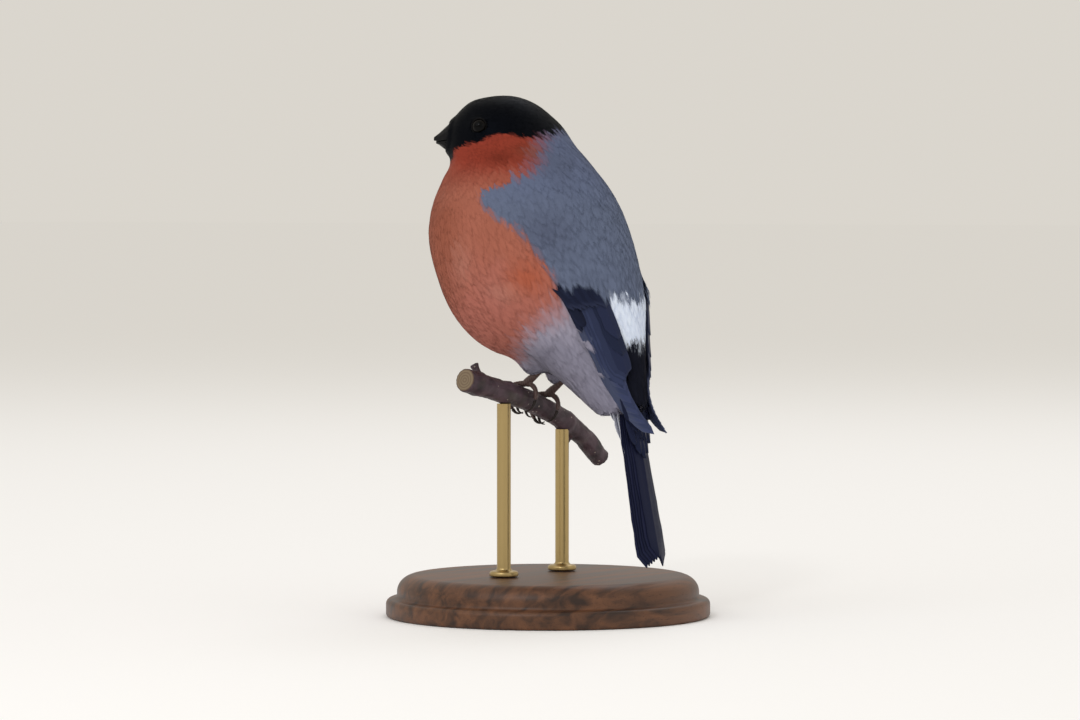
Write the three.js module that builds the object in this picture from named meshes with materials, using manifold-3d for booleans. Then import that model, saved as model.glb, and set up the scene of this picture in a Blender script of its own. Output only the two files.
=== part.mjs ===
// A male bullfinch at life size, gripping a short cut length of branch on a plain display stand.
// Millimetres, +Z up. The origin is the middle of the base's underside.
// The bird faces -Y, so its left side is +X. Its head is turned to its left.
import * as THREE from "three";
import { mergeVertices } from "three/addons/utils/BufferGeometryUtils.js";
import Module from "manifold-3d";

const wasm = await Module();
wasm.setup();

// Driving dimensions, in millimetres and degrees
const touchGap = 0.3; // what separate pieces keep between their faces
const baseRadius = 47;
const baseHeight = 12;
const rodRadius = 2;
const perchRadius = 3.5;
const tailClearance = 4; // from the tail's tip to the top of the base
const tailDrop = 48.5; // from the top of the perch to the tail's tip
const tailPitch = 79; // above the horizontal, as the back
const headTurn = 34; // to its left
const tailRise = 5; // from the top of the perch up to where the tail is parted from the body
const tailWidth = 13;
const wingDepth = 0.7; // how far the folded wing lies below the body's outline
const vaneThickness = 0.55;
const tarsusLength = 17.5;
const tarsusPitch = 38;
const tarsusRadius = 1;
const toeRadius = 0.85;
const footSpread = 5.4; // each foot's distance from the middle of the bird
const eyeRadius = 2.5;

// Where the feet stand: the top of the perch between them
const feetY = -4;
const feetZ = baseHeight + tailClearance + tailDrop;

const radians = THREE.MathUtils.degToRad;
const vector = (x, y, z) => new THREE.Vector3(x, y, z);
const mix = (a, b, t) => a + (b - a) * t;
const clamp = (x, low, high) => Math.min(high, Math.max(low, x));

// A place on the bird, from its distance to the left, forward and up from its feet
const bird = (left, forward, up) => vector(left, feetY - forward, feetZ + up);
// A direction on the bird, pitched up from the horizontal and turned to its left
function heading(pitch, turn = 0) {
  const level = Math.cos(radians(pitch));
  return vector(
    level * Math.sin(radians(turn)),
    -level * Math.cos(radians(turn)),
    Math.sin(radians(pitch)),
  );
}

// Solids

function solid(geometry) {
  const bare = new THREE.BufferGeometry();
  bare.setAttribute("position", geometry.getAttribute("position"));
  bare.setIndex(geometry.getIndex());
  const merged = mergeVertices(bare, 1e-4);
  return new wasm.Manifold(
    new wasm.Mesh({
      numProp: 3,
      vertProperties: merged.attributes.position.array,
      triVerts: new Uint32Array(merged.index.array),
    }),
  );
}

function geometryOf(made) {
  const parts = made.decompose().sort((a, b) => b.volume() - a.volume());
  const { vertProperties, triVerts } = parts[0].getMesh();
  const geometry = new THREE.BufferGeometry();
  geometry.setAttribute("position", new THREE.BufferAttribute(vertProperties, 3));
  geometry.setIndex(new THREE.BufferAttribute(triVerts, 1));
  return geometry;
}

const join = (solids) => solids.reduce((all, one) => all.add(one));

// A closed surface of triangles, turned to face outwards
function closed(points, index) {
  const centre = points.reduce((sum, p) => sum.add(p), vector(0, 0, 0)).divideScalar(points.length);
  let volume = 0;
  for (let i = 0; i < index.length; i += 3) {
    const [a, b, c] = index.slice(i, i + 3).map((k) => points[k].clone().sub(centre));
    volume += a.dot(b.cross(c));
  }
  if (volume < 0) index.reverse();
  const geometry = new THREE.BufferGeometry().setFromPoints(points);
  geometry.setIndex(index);
  return solid(geometry);
}

// Closes a row of rings, each with as many points, into one body with a fan over each end
function loft(rings) {
  const count = rings[0].length;
  const points = rings.flat();
  const index = [];
  for (let r = 0; r < rings.length - 1; r++)
    for (let i = 0; i < count; i++) {
      const a = r * count + i;
      const b = r * count + ((i + 1) % count);
      index.push(a, b, b + count, a, b + count, a + count);
    }
  for (const last of [false, true]) {
    const start = last ? (rings.length - 1) * count : 0;
    const ring = last ? rings[rings.length - 1] : rings[0];
    const middle = points.length;
    points.push(ring.reduce((sum, p) => sum.add(p), vector(0, 0, 0)).divideScalar(count));
    for (let i = 0; i < count; i++) {
      const a = start + i;
      const b = start + ((i + 1) % count);
      index.push(middle, ...(last ? [a, b] : [b, a]));
    }
  }
  return closed(points, index);
}

// A thin plate between two grids of points, split into triangles alike on both faces
function plate(top, under) {
  const rows = top.length;
  const columns = top[0].length;
  const points = [...top.flat(), ...under.flat()];
  const at = (layer, r, c) => layer * rows * columns + r * columns + c;
  const index = [];
  for (let r = 0; r < rows - 1; r++)
    for (let c = 0; c < columns - 1; c++) {
      const corners = (layer) => [
        at(layer, r, c),
        at(layer, r, c + 1),
        at(layer, r + 1, c + 1),
        at(layer, r + 1, c),
      ];
      const [a, b, d, e] = corners(0);
      const [i, j, k, m] = corners(1);
      index.push(a, b, d, a, d, e, i, k, j, i, m, k);
    }
  const rim = [];
  for (let c = 0; c < columns; c++) rim.push([0, c]);
  for (let r = 1; r < rows; r++) rim.push([r, columns - 1]);
  for (let c = columns - 2; c >= 0; c--) rim.push([rows - 1, c]);
  for (let r = rows - 2; r > 0; r--) rim.push([r, 0]);
  rim.forEach(([r, c], i) => {
    const [nextR, nextC] = rim[(i + 1) % rim.length];
    const a = at(0, r, c);
    const b = at(0, nextR, nextC);
    const under = at(1, r, c);
    const nextUnder = at(1, nextR, nextC);
    index.push(a, under, b, b, under, nextUnder);
  });
  return closed(points, index);
}

// A round limb along a curve, with its radius given at each share of the way
function limb(curve, radiusAt, steps, sides) {
  const frames = curve.computeFrenetFrames(steps, false);
  const rings = [];
  for (let i = 0; i <= steps; i++) {
    const at = curve.getPointAt(i / steps);
    const radius = radiusAt(i / steps);
    const ring = [];
    for (let k = 0; k < sides; k++) {
      const turn = (2 * Math.PI * k) / sides;
      ring.push(
        at
          .clone()
          .addScaledVector(frames.normals[i], radius * Math.cos(turn))
          .addScaledVector(frames.binormals[i], radius * Math.sin(turn)),
      );
    }
    rings.push(ring);
  }
  return loft(rings);
}

// The body's outline, as distances to rounded masses that flow into each other

function mass({ at, radii, pitch, turn = 0 }) {
  const along = heading(pitch, turn);
  const left = heading(0, turn + 90);
  const back = left.clone().cross(along).negate();
  const [side, length, depth] = radii;
  return (p) => {
    const d = p.clone().sub(at);
    const x = d.dot(left);
    const y = d.dot(along);
    const z = d.dot(back);
    const near = Math.hypot(x / side, y / length, z / depth);
    const slope = Math.hypot(x / side ** 2, y / length ** 2, z / depth ** 2);
    return slope < 1e-9 ? -side : (near * (near - 1)) / slope;
  };
}

function blend(a, b, reach) {
  const near = Math.max(reach - Math.abs(a - b), 0) / reach;
  return Math.min(a, b) - (near * near * reach) / 4;
}

const headCentre = bird(1, 10.4, 72.3);
const torsoCentre = bird(0, 1, 38);
const neckCentre = bird(0, 6, 60);
const masses = {
  belly: mass({ at: bird(0, 3.2, 42.4), radii: [24, 33, 27.3], pitch: 68 }),
  flankLeft: mass({ at: bird(9.5, 4, 36.5), radii: [17, 26, 20.5], pitch: 68 }),
  flankRight: mass({ at: bird(-9.5, 4, 36.5), radii: [17, 26, 20.5], pitch: 68 }),
  back: mass({ at: bird(0, -8.5, 39), radii: [20, 33, 21], pitch: 66 }),
  rump: mass({ at: bird(0, -21.6, 16.5), radii: [12.5, 25, 12.5], pitch: 68 }),
  tailRoot: mass({ at: bird(0, -32.2, -0.5), radii: [6.3, 20, 5], pitch: tailPitch }),
  neck: mass({ at: bird(0, 4.1, 61), radii: [16, 15, 15.9], pitch: 75 }),
  breast: mass({ at: bird(0, 14.6, 48), radii: [18.5, 18, 18], pitch: 80 }),
  head: mass({ at: headCentre, radii: [14, 16.4, 14.5], pitch: 12, turn: headTurn }),
  face: mass({
    at: headCentre.clone().addScaledVector(heading(0, headTurn), 10.6),
    radii: [7, 5.2, 7],
    pitch: 0,
    turn: headTurn,
  }),
};
function bodyField(p) {
  let d = blend(masses.belly(p), masses.back(p), 8);
  d = blend(d, blend(masses.flankLeft(p), masses.flankRight(p), 6), 5);
  d = blend(d, masses.rump(p), 14);
  d = blend(d, masses.tailRoot(p), 8);
  d = blend(d, masses.breast(p), 8);
  d = blend(d, masses.neck(p), 7);
  return blend(d, blend(masses.head(p), masses.face(p), 5), 7);
}
function outward(p) {
  const step = 0.05;
  const slope = (x, y, z) =>
    bodyField(p.clone().add(vector(x, y, z))) - bodyField(p.clone().sub(vector(x, y, z)));
  return vector(slope(step, 0, 0), slope(0, step, 0), slope(0, 0, step)).normalize();
}
// The last place along a ray from inside where the outline is met
const bodyReach = 90; // more than the way from any of the rays' starts to the outline
function onBody(from, direction, level = 0) {
  const step = 2;
  let far = bodyReach;
  while (far > step && bodyField(from.clone().addScaledVector(direction, far)) > level) far -= step;
  let near = far;
  far += step;
  for (let i = 0; i < 24; i++) {
    const middle = (near + far) / 2;
    const outside = bodyField(from.clone().addScaledVector(direction, middle)) > level;
    if (outside) far = middle;
    else near = middle;
  }
  return from.clone().addScaledVector(direction, (near + far) / 2);
}
// The outline seen from one place inside it, as a closed solid
function bodyFrom(centre, detail, level = 0) {
  const geometry = new THREE.IcosahedronGeometry(1, detail);
  const place = geometry.getAttribute("position");
  for (let i = 0; i < place.count; i++) {
    const direction = vector(place.getX(i), place.getY(i), place.getZ(i)).normalize();
    const p = onBody(centre, direction, level);
    place.setXYZ(i, p.x, p.y, p.z);
  }
  return solid(geometry);
}

// Half of space past a plane, as a large box
function half(at, direction) {
  const size = 400;
  const box = new THREE.BoxGeometry(size, size, size);
  box.translate(0, 0, size / 2);
  box.applyQuaternion(new THREE.Quaternion().setFromUnitVectors(vector(0, 0, 1), direction));
  box.translate(at.x, at.y, at.z);
  return solid(box);
}

const tailCentre = bird(0, -32.6, -3);
const tailBase = { at: bird(0, -31.8, tailRise), direction: heading(tailPitch).negate() };
const neckBase = { at: bird(0, 6, 57.5), direction: heading(72) };
const headBase = { at: bird(0, 8, 63.5), direction: heading(68, headTurn * 0.6) };
const beyond = ({ at, direction }, offset = 0) =>
  half(at.clone().addScaledVector(direction, offset), direction);

// The folded wing: a sheet from its lower edge to its edge on the back, pressed on to the body.
// It is written for the left side. The right one is its mirror image, with side -1.

const wingLower = [
  [21.6, -3.6, 57],
  [24.4, -11.7, 43],
  [20, -23.5, 29.3],
  [13.2, -29.8, 12.6],
  [7.4, -33.8, -2.9],
  [6, -42.8, -11.3],
];
const wingUpper = [
  [18.4, -11.4, 55],
  [13.4, -25.5, 40],
  [9.6, -31.7, 28],
  [4.6, -35.3, 12],
  [4.2, -39.4, 0.5],
  [4.4, -45.8, -8.5],
];
const spline = (places) =>
  new THREE.CatmullRomCurve3(places.map(([left, forward, up]) => bird(left, forward, up)));
const lowerEdge = spline(wingLower);
const upperEdge = spline(wingUpper);

function wingSpan(along) {
  const t = clamp(along, 0, 1);
  return lowerEdge.getPoint(t).distanceTo(upperEdge.getPoint(t));
}
function wingPlace(along, across) {
  const t = clamp(along, 0, 1);
  const p = lowerEdge.getPoint(t).lerp(upperEdge.getPoint(t), across);
  if (along !== t) {
    const way = lowerEdge.getTangent(t).lerp(upperEdge.getTangent(t), across);
    p.addScaledVector(way, (along - t) * lowerEdge.getLength());
  }
  for (let pass = 0; pass < 4; pass++) {
    const short = -wingDepth - bodyField(p);
    if (short > 0) p.addScaledVector(outward(p), short);
  }
  return p;
}
// A place lifted off the sheet, towards the outside of the wing
function wingSheet(side) {
  return (along, across, lift) => {
    const step = 0.03;
    const a = wingPlace(along - step, across);
    const b = wingPlace(along + step, across);
    const c = wingPlace(along, across - step * 4);
    const d = wingPlace(along, across + step * 4);
    const normal = b.sub(a).cross(d.sub(c)).normalize();
    const p = wingPlace(along, across).addScaledVector(normal, lift);
    p.x *= side;
    return p;
  };
}

// A feather's vane on a sheet. Its root and tip are places along and across the sheet, and
// its lift is how far it lies off the sheet at its root and at its tip. Its outline gives its
// breadth at each share of the way.
const longVane = [[0, 0.6], [0.34, 0.92], [0.66, 1], [0.88, 0.78], [1, 0.26]];
const shortVane = [[0, 0.7], [0.5, 1], [0.85, 0.82], [1, 0.3]];
function vane(sheet, span, { root, tip, width, lift, tilt = 0.5, outline = longVane }) {
  const top = [];
  const under = [];
  outline.forEach(([share, breadth]) => {
    const along = mix(root[0], tip[0], share);
    const middle = mix(root[1], tip[1], share);
    const reach = (width * breadth) / 2;
    const level = mix(lift[0], lift[1], share);
    const row = [-1, 1].map((edge) => ({
      across: middle + (edge * reach) / span(along),
      height: level - (edge * tilt) / 2,
    }));
    top.push(row.map(({ across, height }) => sheet(along, across, height)));
    under.push(row.map(({ across, height }) => sheet(along, across, height - vaneThickness)));
  });
  return plate(top, under);
}

// The wing's rows of feathers, from the outermost primary up to the innermost tertial, then
// the coverts. Each row runs from its first feather to its last.
const wingRows = [
  {
    count: 6,
    root: [[0.34, 0.26], [0.34, 0.52]],
    tip: [[1, 0.5], [0.76, 0.62]],
    width: [5.6, 6],
    lift: [[-1.2, -0.4], [-0.5, -0.1]],
    tipLift: [-0.9, 0.35],
  },
  {
    count: 4,
    root: [[0.32, 0.5], [0.32, 0.72]],
    tip: [[0.735, 0.48], [0.7, 0.74]],
    width: [6, 6],
    lift: [[-0.5, 0.1], [-0.3, 0.4]],
    tipLift: [0.35, 0.75],
  },
  {
    count: 3,
    root: [[0.3, 0.72], [0.28, 0.86]],
    tip: [[0.68, 0.8], [0.54, 0.88]],
    width: [6.2, 5],
    lift: [[-0.4, 0.9], [-0.4, 1.2]],
    tipLift: [0.95, 1.35],
  },
  {
    count: 6,
    root: [[0.25, 0.1], [0.25, 0.88]],
    tip: [[0.42, 0.1], [0.43, 0.86]],
    width: [4, 3.8],
    lift: [[-0.3, 1], [-0.3, 1]],
    tipLift: [0.9, 1.5],
    outline: shortVane,
  },
  {
    count: 5,
    root: [[0.12, 0.12], [0.12, 0.86]],
    tip: [[0.29, 0.1], [0.3, 0.86]],
    width: [4.6, 4.4],
    lift: [[-0.3, 1], [-0.3, 1]],
    tipLift: [0.9, 1.2],
    outline: shortVane,
  },
];
function rowFeathers({ count, root, tip, width, lift, tipLift, outline }) {
  return Array.from({ length: count }, (_, i) => {
    const share = i / (count - 1);
    const between = ([from, to]) => from.map((value, k) => mix(value, to[k], share));
    return {
      root: between(root),
      tip: between(tip),
      width: mix(width[0], width[1], share),
      lift: [mix(lift[0][0], lift[1][0], share), mix(tipLift[0], tipLift[1], share)],
      outline,
    };
  });
}

// The flesh and small coverts under the wing's feathers
const coreEnd = 0.66;
const wingInside = -1.5;
function wingPlate(side, { from, to, rows, columns, margin, top, under }) {
  const sheet = wingSheet(side);
  const grid = (heightAt) =>
    Array.from({ length: rows + 1 }, (_, r) =>
      Array.from({ length: columns + 1 }, (_, c) => {
        const along = mix(from, to, r / rows);
        const across = mix(-margin / wingSpan(along), 1 + margin / wingSpan(along), c / columns);
        return sheet(along, across, heightAt(r / rows, c / columns));
      }),
    );
  return plate(grid(top), grid(under));
}
function wing(side) {
  const swell = (across) => Math.sqrt(Math.max(0, Math.sin(Math.PI * across)));
  const core = wingPlate(side, {
    from: 0,
    to: coreEnd,
    rows: 8,
    columns: 5,
    margin: 0,
    top: (along, across) => 0.1 + 0.5 * swell(across) * (1 - 0.9 * along),
    under: (along, across) => -0.5 + (wingInside + 0.5) * swell(across),
  });
  const sheet = wingSheet(side);
  const inside = (along, across, lift) => sheet(along, clamp(across, 0.02, 0.98), lift);
  const feathers = wingRows.flatMap(rowFeathers).map((one) => vane(inside, wingSpan, one));
  return join([core, ...feathers]);
}
// The room that the wing takes out of the body's side
function wingRoom(side) {
  return wingPlate(side, {
    from: -0.008,
    to: 0.98,
    rows: 12,
    columns: 4,
    margin: 1,
    top: () => 6,
    under: () => wingInside - vaneThickness - 3 * touchGap,
  });
}

// The tail: two rows of six feathers, the middle pair on top, from a root of small coverts
const tailLength = (tailRise + tailDrop) / Math.sin(radians(tailPitch));

function tailSheet() {
  const down = heading(tailPitch).negate();
  const back = vector(0, -down.z, down.y).normalize();
  const start = tailBase.at.clone().addScaledVector(back, 0.4);
  return (along, across, lift) =>
    start
      .clone()
      .addScaledVector(down, along * tailLength)
      .add(vector(across, 0, 0))
      .addScaledVector(back, lift - 0.012 * across * across);
}
function tail() {
  const core = bodyFrom(tailCentre, 5)
    .intersect(beyond(tailBase, touchGap / 2))
    .subtract(join([wingRoom(1), wingRoom(-1)]));
  const sheet = tailSheet();
  const feathers = [];
  const pairs = 6;
  for (const side of [-1, 1])
    for (let pair = 0; pair < pairs; pair++) {
      const outside = pair / (pairs - 1);
      const width = 6.2 - 1.2 * outside;
      const edge = mix(3.6, tailWidth / 2, outside);
      feathers.push({
        root: [0.02, side * 1.2 * outside],
        tip: [0.955 + 0.045 * outside, side * (edge - width / 2)],
        width,
        lift: [0.5 - 0.36 * pair, 1.4 - 0.42 * pair + (side > 0 ? 0.2 : 0)],
        tilt: 0,
      });
    }
  // Coverts above and below the tail's root
  for (const [level, rise, reach] of [
    [2.4, 2.2, 0.42],
    [-3.4, -2.4, 0.52],
  ])
    for (const across of [-3, 0, 3])
      feathers.push({
        root: [0.02, across * 0.6],
        tip: [reach - 0.012 * across * across, across * 0.8],
        width: 5,
        lift: [level, rise],
        tilt: 0,
        outline: shortVane,
      });
  return join([core, ...feathers.map((one) => vane(sheet, () => 1, one))]);
}

// The body's nodes

function torso() {
  return bodyFrom(torsoCentre, 9)
    .subtract(beyond(neckBase, -touchGap / 2))
    .subtract(beyond(tailBase, -touchGap / 2))
    .subtract(wingRoom(1))
    .subtract(wingRoom(-1))
    .subtract(thighMass(1, touchGap))
    .subtract(thighMass(-1, touchGap));
}
function neck() {
  return bodyFrom(neckCentre, 8)
    .intersect(beyond(neckBase, touchGap / 2))
    .subtract(beyond(headBase, -touchGap / 2));
}

// The head's own directions
const ahead = heading(0, headTurn);
const headLeft = heading(0, headTurn + 90);
const onHead = (left, forward, up) =>
  headCentre
    .clone()
    .addScaledVector(headLeft, left)
    .addScaledVector(ahead, forward)
    .add(vector(0, 0, up));

function ball(at, radius, detail) {
  const geometry = new THREE.IcosahedronGeometry(radius, detail);
  geometry.translate(at.x, at.y, at.z);
  return solid(geometry);
}

// The eye's place: how far forward and up from the middle of the head, and how deep it sits
const eyeForward = 7;
const eyeUp = 4.7;
const eyeDepth = 1.55;
const lidThickness = 0.6;
const lidInset = 0.35; // from the face's surface in to the middle of the lid's ring
const lidClear = 0.15; // from the eyeball out to the middle of the lid's ring
function eyeSurface(side) {
  const from = onHead(0, eyeForward, eyeUp);
  return onBody(from, headLeft.clone().multiplyScalar(side));
}
function eyePlace(side) {
  return eyeSurface(side).addScaledVector(headLeft, -side * eyeDepth);
}
const eye = (side) => ball(eyePlace(side), eyeRadius, 2);
function lids(side) {
  const place = eyeSurface(side).addScaledVector(headLeft, -side * lidInset);
  const ring = new THREE.TorusGeometry(eyeRadius + lidClear, lidThickness, 6, 16);
  const facing = outward(eyeSurface(side));
  ring.applyQuaternion(new THREE.Quaternion().setFromUnitVectors(vector(0, 0, 1), facing));
  ring.translate(place.x, place.y, place.z);
  return solid(ring);
}
function head() {
  return bodyFrom(headCentre, 8)
    .intersect(beyond(headBase, touchGap / 2))
    .add(lids(1))
    .add(lids(-1))
    .subtract(ball(eyePlace(1), eyeRadius + touchGap, 2))
    .subtract(ball(eyePlace(-1), eyeRadius + touchGap, 2));
}

// The bill: distances forward of the middle of the head, with the heights of the ridge, the
// line of the mouth and the lower edge there, and half of the width
const billSections = [
  { forward: 11.4, ridge: 8.3, mouth: -0.6, keel: -4.4, half: 4.9 },
  { forward: 13.4, ridge: 7.8, mouth: 0.1, keel: -4.1, half: 4.7 },
  { forward: 14.9, ridge: 7, mouth: 0.8, keel: -3.5, half: 4.4 },
  { forward: 16.4, ridge: 5.8, mouth: 1.1, keel: -2.6, half: 3.7 },
  { forward: 17.9, ridge: 4.4, mouth: 1, keel: -1.4, half: 2.8 },
  { forward: 19.4, ridge: 3, mouth: 0.7, keel: -0.2, half: 1.6 },
];
const billTips = { upper: [20.9, 1], lower: [20.3, 0.45] };
const billSides = 6;
const billFullness = 0.85; // below 1, the bill's sides bulge out
const nostril = { left: 3.4, forward: 15.6, up: 4.6, radius: 0.7 };
// Half a ring of the bill, from its left side over the ridge, or under the keel, to its right
function billRing(left, forward, low, high) {
  const ring = [];
  for (let i = 0; i <= billSides; i++) {
    const turn = (Math.PI * i) / billSides;
    const rise = Math.sin(turn) ** billFullness;
    ring.push(onHead(left * Math.cos(turn), forward, mix(low, high, rise)));
  }
  return ring;
}
function billPart(upper) {
  const rings = billSections.map(({ forward, ridge, mouth, keel, half }) =>
    upper
      ? billRing(half, forward, mouth + touchGap / 2, ridge)
      : billRing(half * 0.92, forward, mouth - touchGap / 2, keel),
  );
  const [forward, up] = upper ? billTips.upper : billTips.lower;
  rings.push(billRing(0.25, forward, up, up + (upper ? 0.9 : -0.3)));
  const made = loft(rings).subtract(bodyFrom(headCentre, 9, touchGap));
  if (!upper) return made;
  const nostrils = [-1, 1].map((side) =>
    ball(onHead(side * nostril.left, nostril.forward, nostril.up), nostril.radius, 1),
  );
  return made.subtract(join(nostrils));
}

// The perch: a short cut length of branch, higher on the bird's left

const perchRoute = new THREE.CatmullRomCurve3([
  bird(34, 0.6, 4.9),
  bird(21, 0.2, 1.9),
  bird(8.4, 0, -0.9),
  bird(-2, 0, -4),
  bird(-13.3, 0, -8.4),
  bird(-24, 0.3, -14),
  bird(-33, 0.8, -20.4),
]);
// Swellings where leaves once grew: the share along the branch and how much thicker it is
const perchKnots = [
  [0.07, 0.5],
  [0.27, 0.45],
  [0.7, 0.55],
  [0.9, 0.5],
];
function perchThickness(share) {
  const knots = perchKnots.map(([at, more]) => more * Math.exp(-(((share - at) / 0.022) ** 2)));
  return mix(perchRadius, perchRadius * 0.86, share) + knots.reduce((sum, one) => sum + one);
}
function perchLimb(extra) {
  return limb(perchRoute, (share) => perchThickness(share) + extra, 26, 10);
}
// Where the branch passes the bird's left or right at a distance
function perchAt(left) {
  let low = 0;
  let high = 1;
  for (let i = 0; i < 30; i++) {
    const middle = (low + high) / 2;
    if (perchRoute.getPointAt(middle).x > left) low = middle;
    else high = middle;
  }
  const along = perchRoute.getTangentAt(low);
  const forward = heading(0);
  const up = forward.clone().cross(along).normalize();
  if (up.z < 0) up.negate();
  return { at: perchRoute.getPointAt(low), forward, up, radius: perchThickness(low) };
}
// Stubs of side twigs
const perchStubs = [
  { left: -17.5, pitch: -70, length: 5.2, radius: 1.25 },
  { left: 25, pitch: 62, length: 3.6, radius: 1.4 },
];
function perch() {
  const stubs = perchStubs.map(({ left, pitch, length, radius }) => {
    const { at, radius: thick } = perchAt(left);
    const way = heading(pitch, 20);
    const end = at.clone().addScaledVector(way, thick + length);
    const curve = new THREE.LineCurve3(at, end);
    return limb(curve, (share) => radius * (1 + 0.25 * Math.sin(share * 7)), 4, 7);
  });
  return join([perchLimb(0), ...stubs]);
}

// The feet: three toes forward and one back round the perch, then a claw on each

const toes = [
  { name: "inner", start: 4, turn: 100, drift: -3.2, claw: 52 },
  { name: "middle", start: 6, turn: 132, drift: 0.2, claw: 56 },
  { name: "outer", start: 4, turn: 104, drift: 3.4, claw: 52 },
  { name: "hind", start: -8, turn: -92, drift: 0.3, claw: -66 },
];
// A place round the perch: its turn from the top towards the front, and its distance
function roundPerch(side, turn, drift, clear) {
  const left = side * (footSpread + drift);
  const lean = perchAt(left).up.x * (perchRadius + toeRadius);
  const { at, forward, up, radius } = perchAt(left - lean);
  const away = radius + clear;
  return at
    .clone()
    .addScaledVector(up, away * Math.cos(radians(turn)))
    .addScaledVector(forward, away * Math.sin(radians(turn)));
}
function toeCurve(side, { start, turn, drift }) {
  const places = [];
  for (let i = 0; i <= 8; i++) {
    const share = i / 8;
    const clear = touchGap + toeRadius + 0.25 * Math.sin(Math.PI * share);
    places.push(roundPerch(side, mix(start, turn, share), drift * share ** 0.8, clear));
  }
  return new THREE.CatmullRomCurve3(places);
}
const footPlace = (side) => roundPerch(side, -4, 0, touchGap + toeRadius + 0.35);
function toe(side, one) {
  const pads = (share) => 1 - 0.2 * share + 0.1 * Math.cos(share * Math.PI * 5);
  return limb(toeCurve(side, one), (share) => toeRadius * pads(share), 6, 6);
}
const clawBow = 0.45; // how far a claw's middle arches away from the bark
const clawRoot = toeRadius * 0.8;
const clawTip = 0.16;
function claw(side, { turn, drift, claw: reach }) {
  const start = turn + Math.sign(reach) * 4;
  const steps = 5;
  const places = [];
  for (let i = 0; i <= steps; i++) {
    const share = i / steps;
    const level = mix(touchGap + toeRadius, touchGap + 0.35, share ** 0.7);
    const clear = level + clawBow * Math.sin(3 * share);
    places.push(roundPerch(side, start + reach * share, drift, clear));
  }
  const curve = new THREE.CatmullRomCurve3(places);
  return limb(curve, (share) => mix(clawRoot, clawTip, share ** 0.8), steps, 6);
}
function ankle(side) {
  return footPlace(side).addScaledVector(heading(180 - tarsusPitch), tarsusLength);
}
// The feathered thigh, from inside the belly down to a cuff round the top of the bare shank
const thighTop = (side) => bird(side * 9, -4, 24);
const thighRadius = 5.2;
const shankBare = 0.17; // the share of the shank below the cuff
function thighMass(side, extra) {
  const top = thighTop(side);
  const low = footPlace(side).lerp(ankle(side), shankBare);
  const middle = top.clone().lerp(low, 0.5);
  const axis = low.clone().sub(top).normalize();
  const geometry = new THREE.IcosahedronGeometry(1, 3);
  geometry.scale(thighRadius + extra, thighRadius + extra, top.distanceTo(low) / 2 + extra);
  geometry.applyQuaternion(new THREE.Quaternion().setFromUnitVectors(vector(0, 0, 1), axis));
  geometry.translate(middle.x, middle.y, middle.z);
  return solid(geometry);
}
const thigh = (side) => thighMass(side, 0);
function leg(side) {
  const shank = new THREE.LineCurve3(footPlace(side), ankle(side));
  const thickness = (share) => tarsusRadius * (1 + 0.3 * (2 * share - 1) ** 2);
  return join([
    limb(shank, thickness, 3, 7),
    ball(footPlace(side), tarsusRadius * 1.25, 1),
    ...toes.map((one) => toe(side, one)),
  ]).subtract(join([bodyFrom(torsoCentre, 10, touchGap), thighMass(side, touchGap)]));
}

// The stand: a turned base and two rods up to the perch

const lathe = (profile, sides) => {
  const geometry = new THREE.LatheGeometry(
    profile.map(([radius, up]) => new THREE.Vector2(radius, up)),
    sides,
  );
  return geometry.rotateX(Math.PI / 2);
};
function standBase() {
  const profile = [
    [0, 0],
    [baseRadius - 1, 0],
    [baseRadius, 1],
    [baseRadius, 4.4],
    [baseRadius - 2.2, 5.6],
    [baseRadius - 2.8, 7.6],
    [baseRadius - 4.4, 10],
    [baseRadius - 6.6, 11.5],
    [baseRadius - 8.6, baseHeight],
    [0, baseHeight],
  ];
  return solid(lathe(profile, 40));
}
const rodPlaces = [16, -12.5]; // to the bird's left
const collarRadius = 4.2;
const collarHeight = 1.8;
function standRod(left) {
  const low = baseHeight + touchGap;
  const { at } = perchAt(left);
  const profile = [
    [0, low],
    [collarRadius, low],
    [collarRadius, low + collarHeight * 0.6],
    [collarRadius - 0.8, low + collarHeight],
    [rodRadius, low + collarHeight],
    [rodRadius, at.z],
    [0, at.z],
  ];
  const geometry = lathe(profile, 16);
  geometry.translate(at.x, at.y, 0);
  return solid(geometry).subtract(perchLimb(touchGap));
}

const group = new THREE.Group();
function add(name, made, colour, roughness = 0.8, metalness = 0) {
  const material = new THREE.MeshStandardMaterial({ color: colour, roughness, metalness });
  const mesh = new THREE.Mesh(geometryOf(made), material);
  mesh.name = name;
  group.add(mesh);
}
const colours = {
  black: 0x16171c,
  glossy: 0x262b3c,
  red: 0xb4634c,
  grey: 0x60636f,
  horn: 0x1b1a1c,
  eye: 0x0b0807,
  leg: 0x4a3530,
  bark: 0x3d2d31,
  walnut: 0x5a3a26,
  brass: 0xb08d4f,
};
add("torso", torso(), colours.red);
add("neck", neck(), colours.grey);
add("head", head(), colours.black, 0.5);
add("tail", tail(), colours.glossy, 0.5);
add("bill_upper", billPart(true), colours.horn, 0.35);
add("bill_lower", billPart(false), colours.horn, 0.35);
for (const [side, name] of [
  [1, "left"],
  [-1, "right"],
]) {
  add(`wing_${name}`, wing(side), colours.glossy, 0.5);
  add(`eye_${name}`, eye(side), colours.eye, 0.1);
  add(`thigh_${name}`, thigh(side), colours.grey);
  add(`leg_${name}`, leg(side), colours.leg, 0.6);
  for (const one of toes) add(`claw_${name}_${one.name}`, claw(side, one), colours.horn, 0.4);
}
add("perch", perch(), colours.bark, 0.9);
add("stand_base", standBase(), colours.walnut, 0.45);
rodPlaces.forEach((left, i) => add(`stand_rod_${i + 1}`, standRod(left), colours.brass, 0.3, 1));

export default group;
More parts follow.
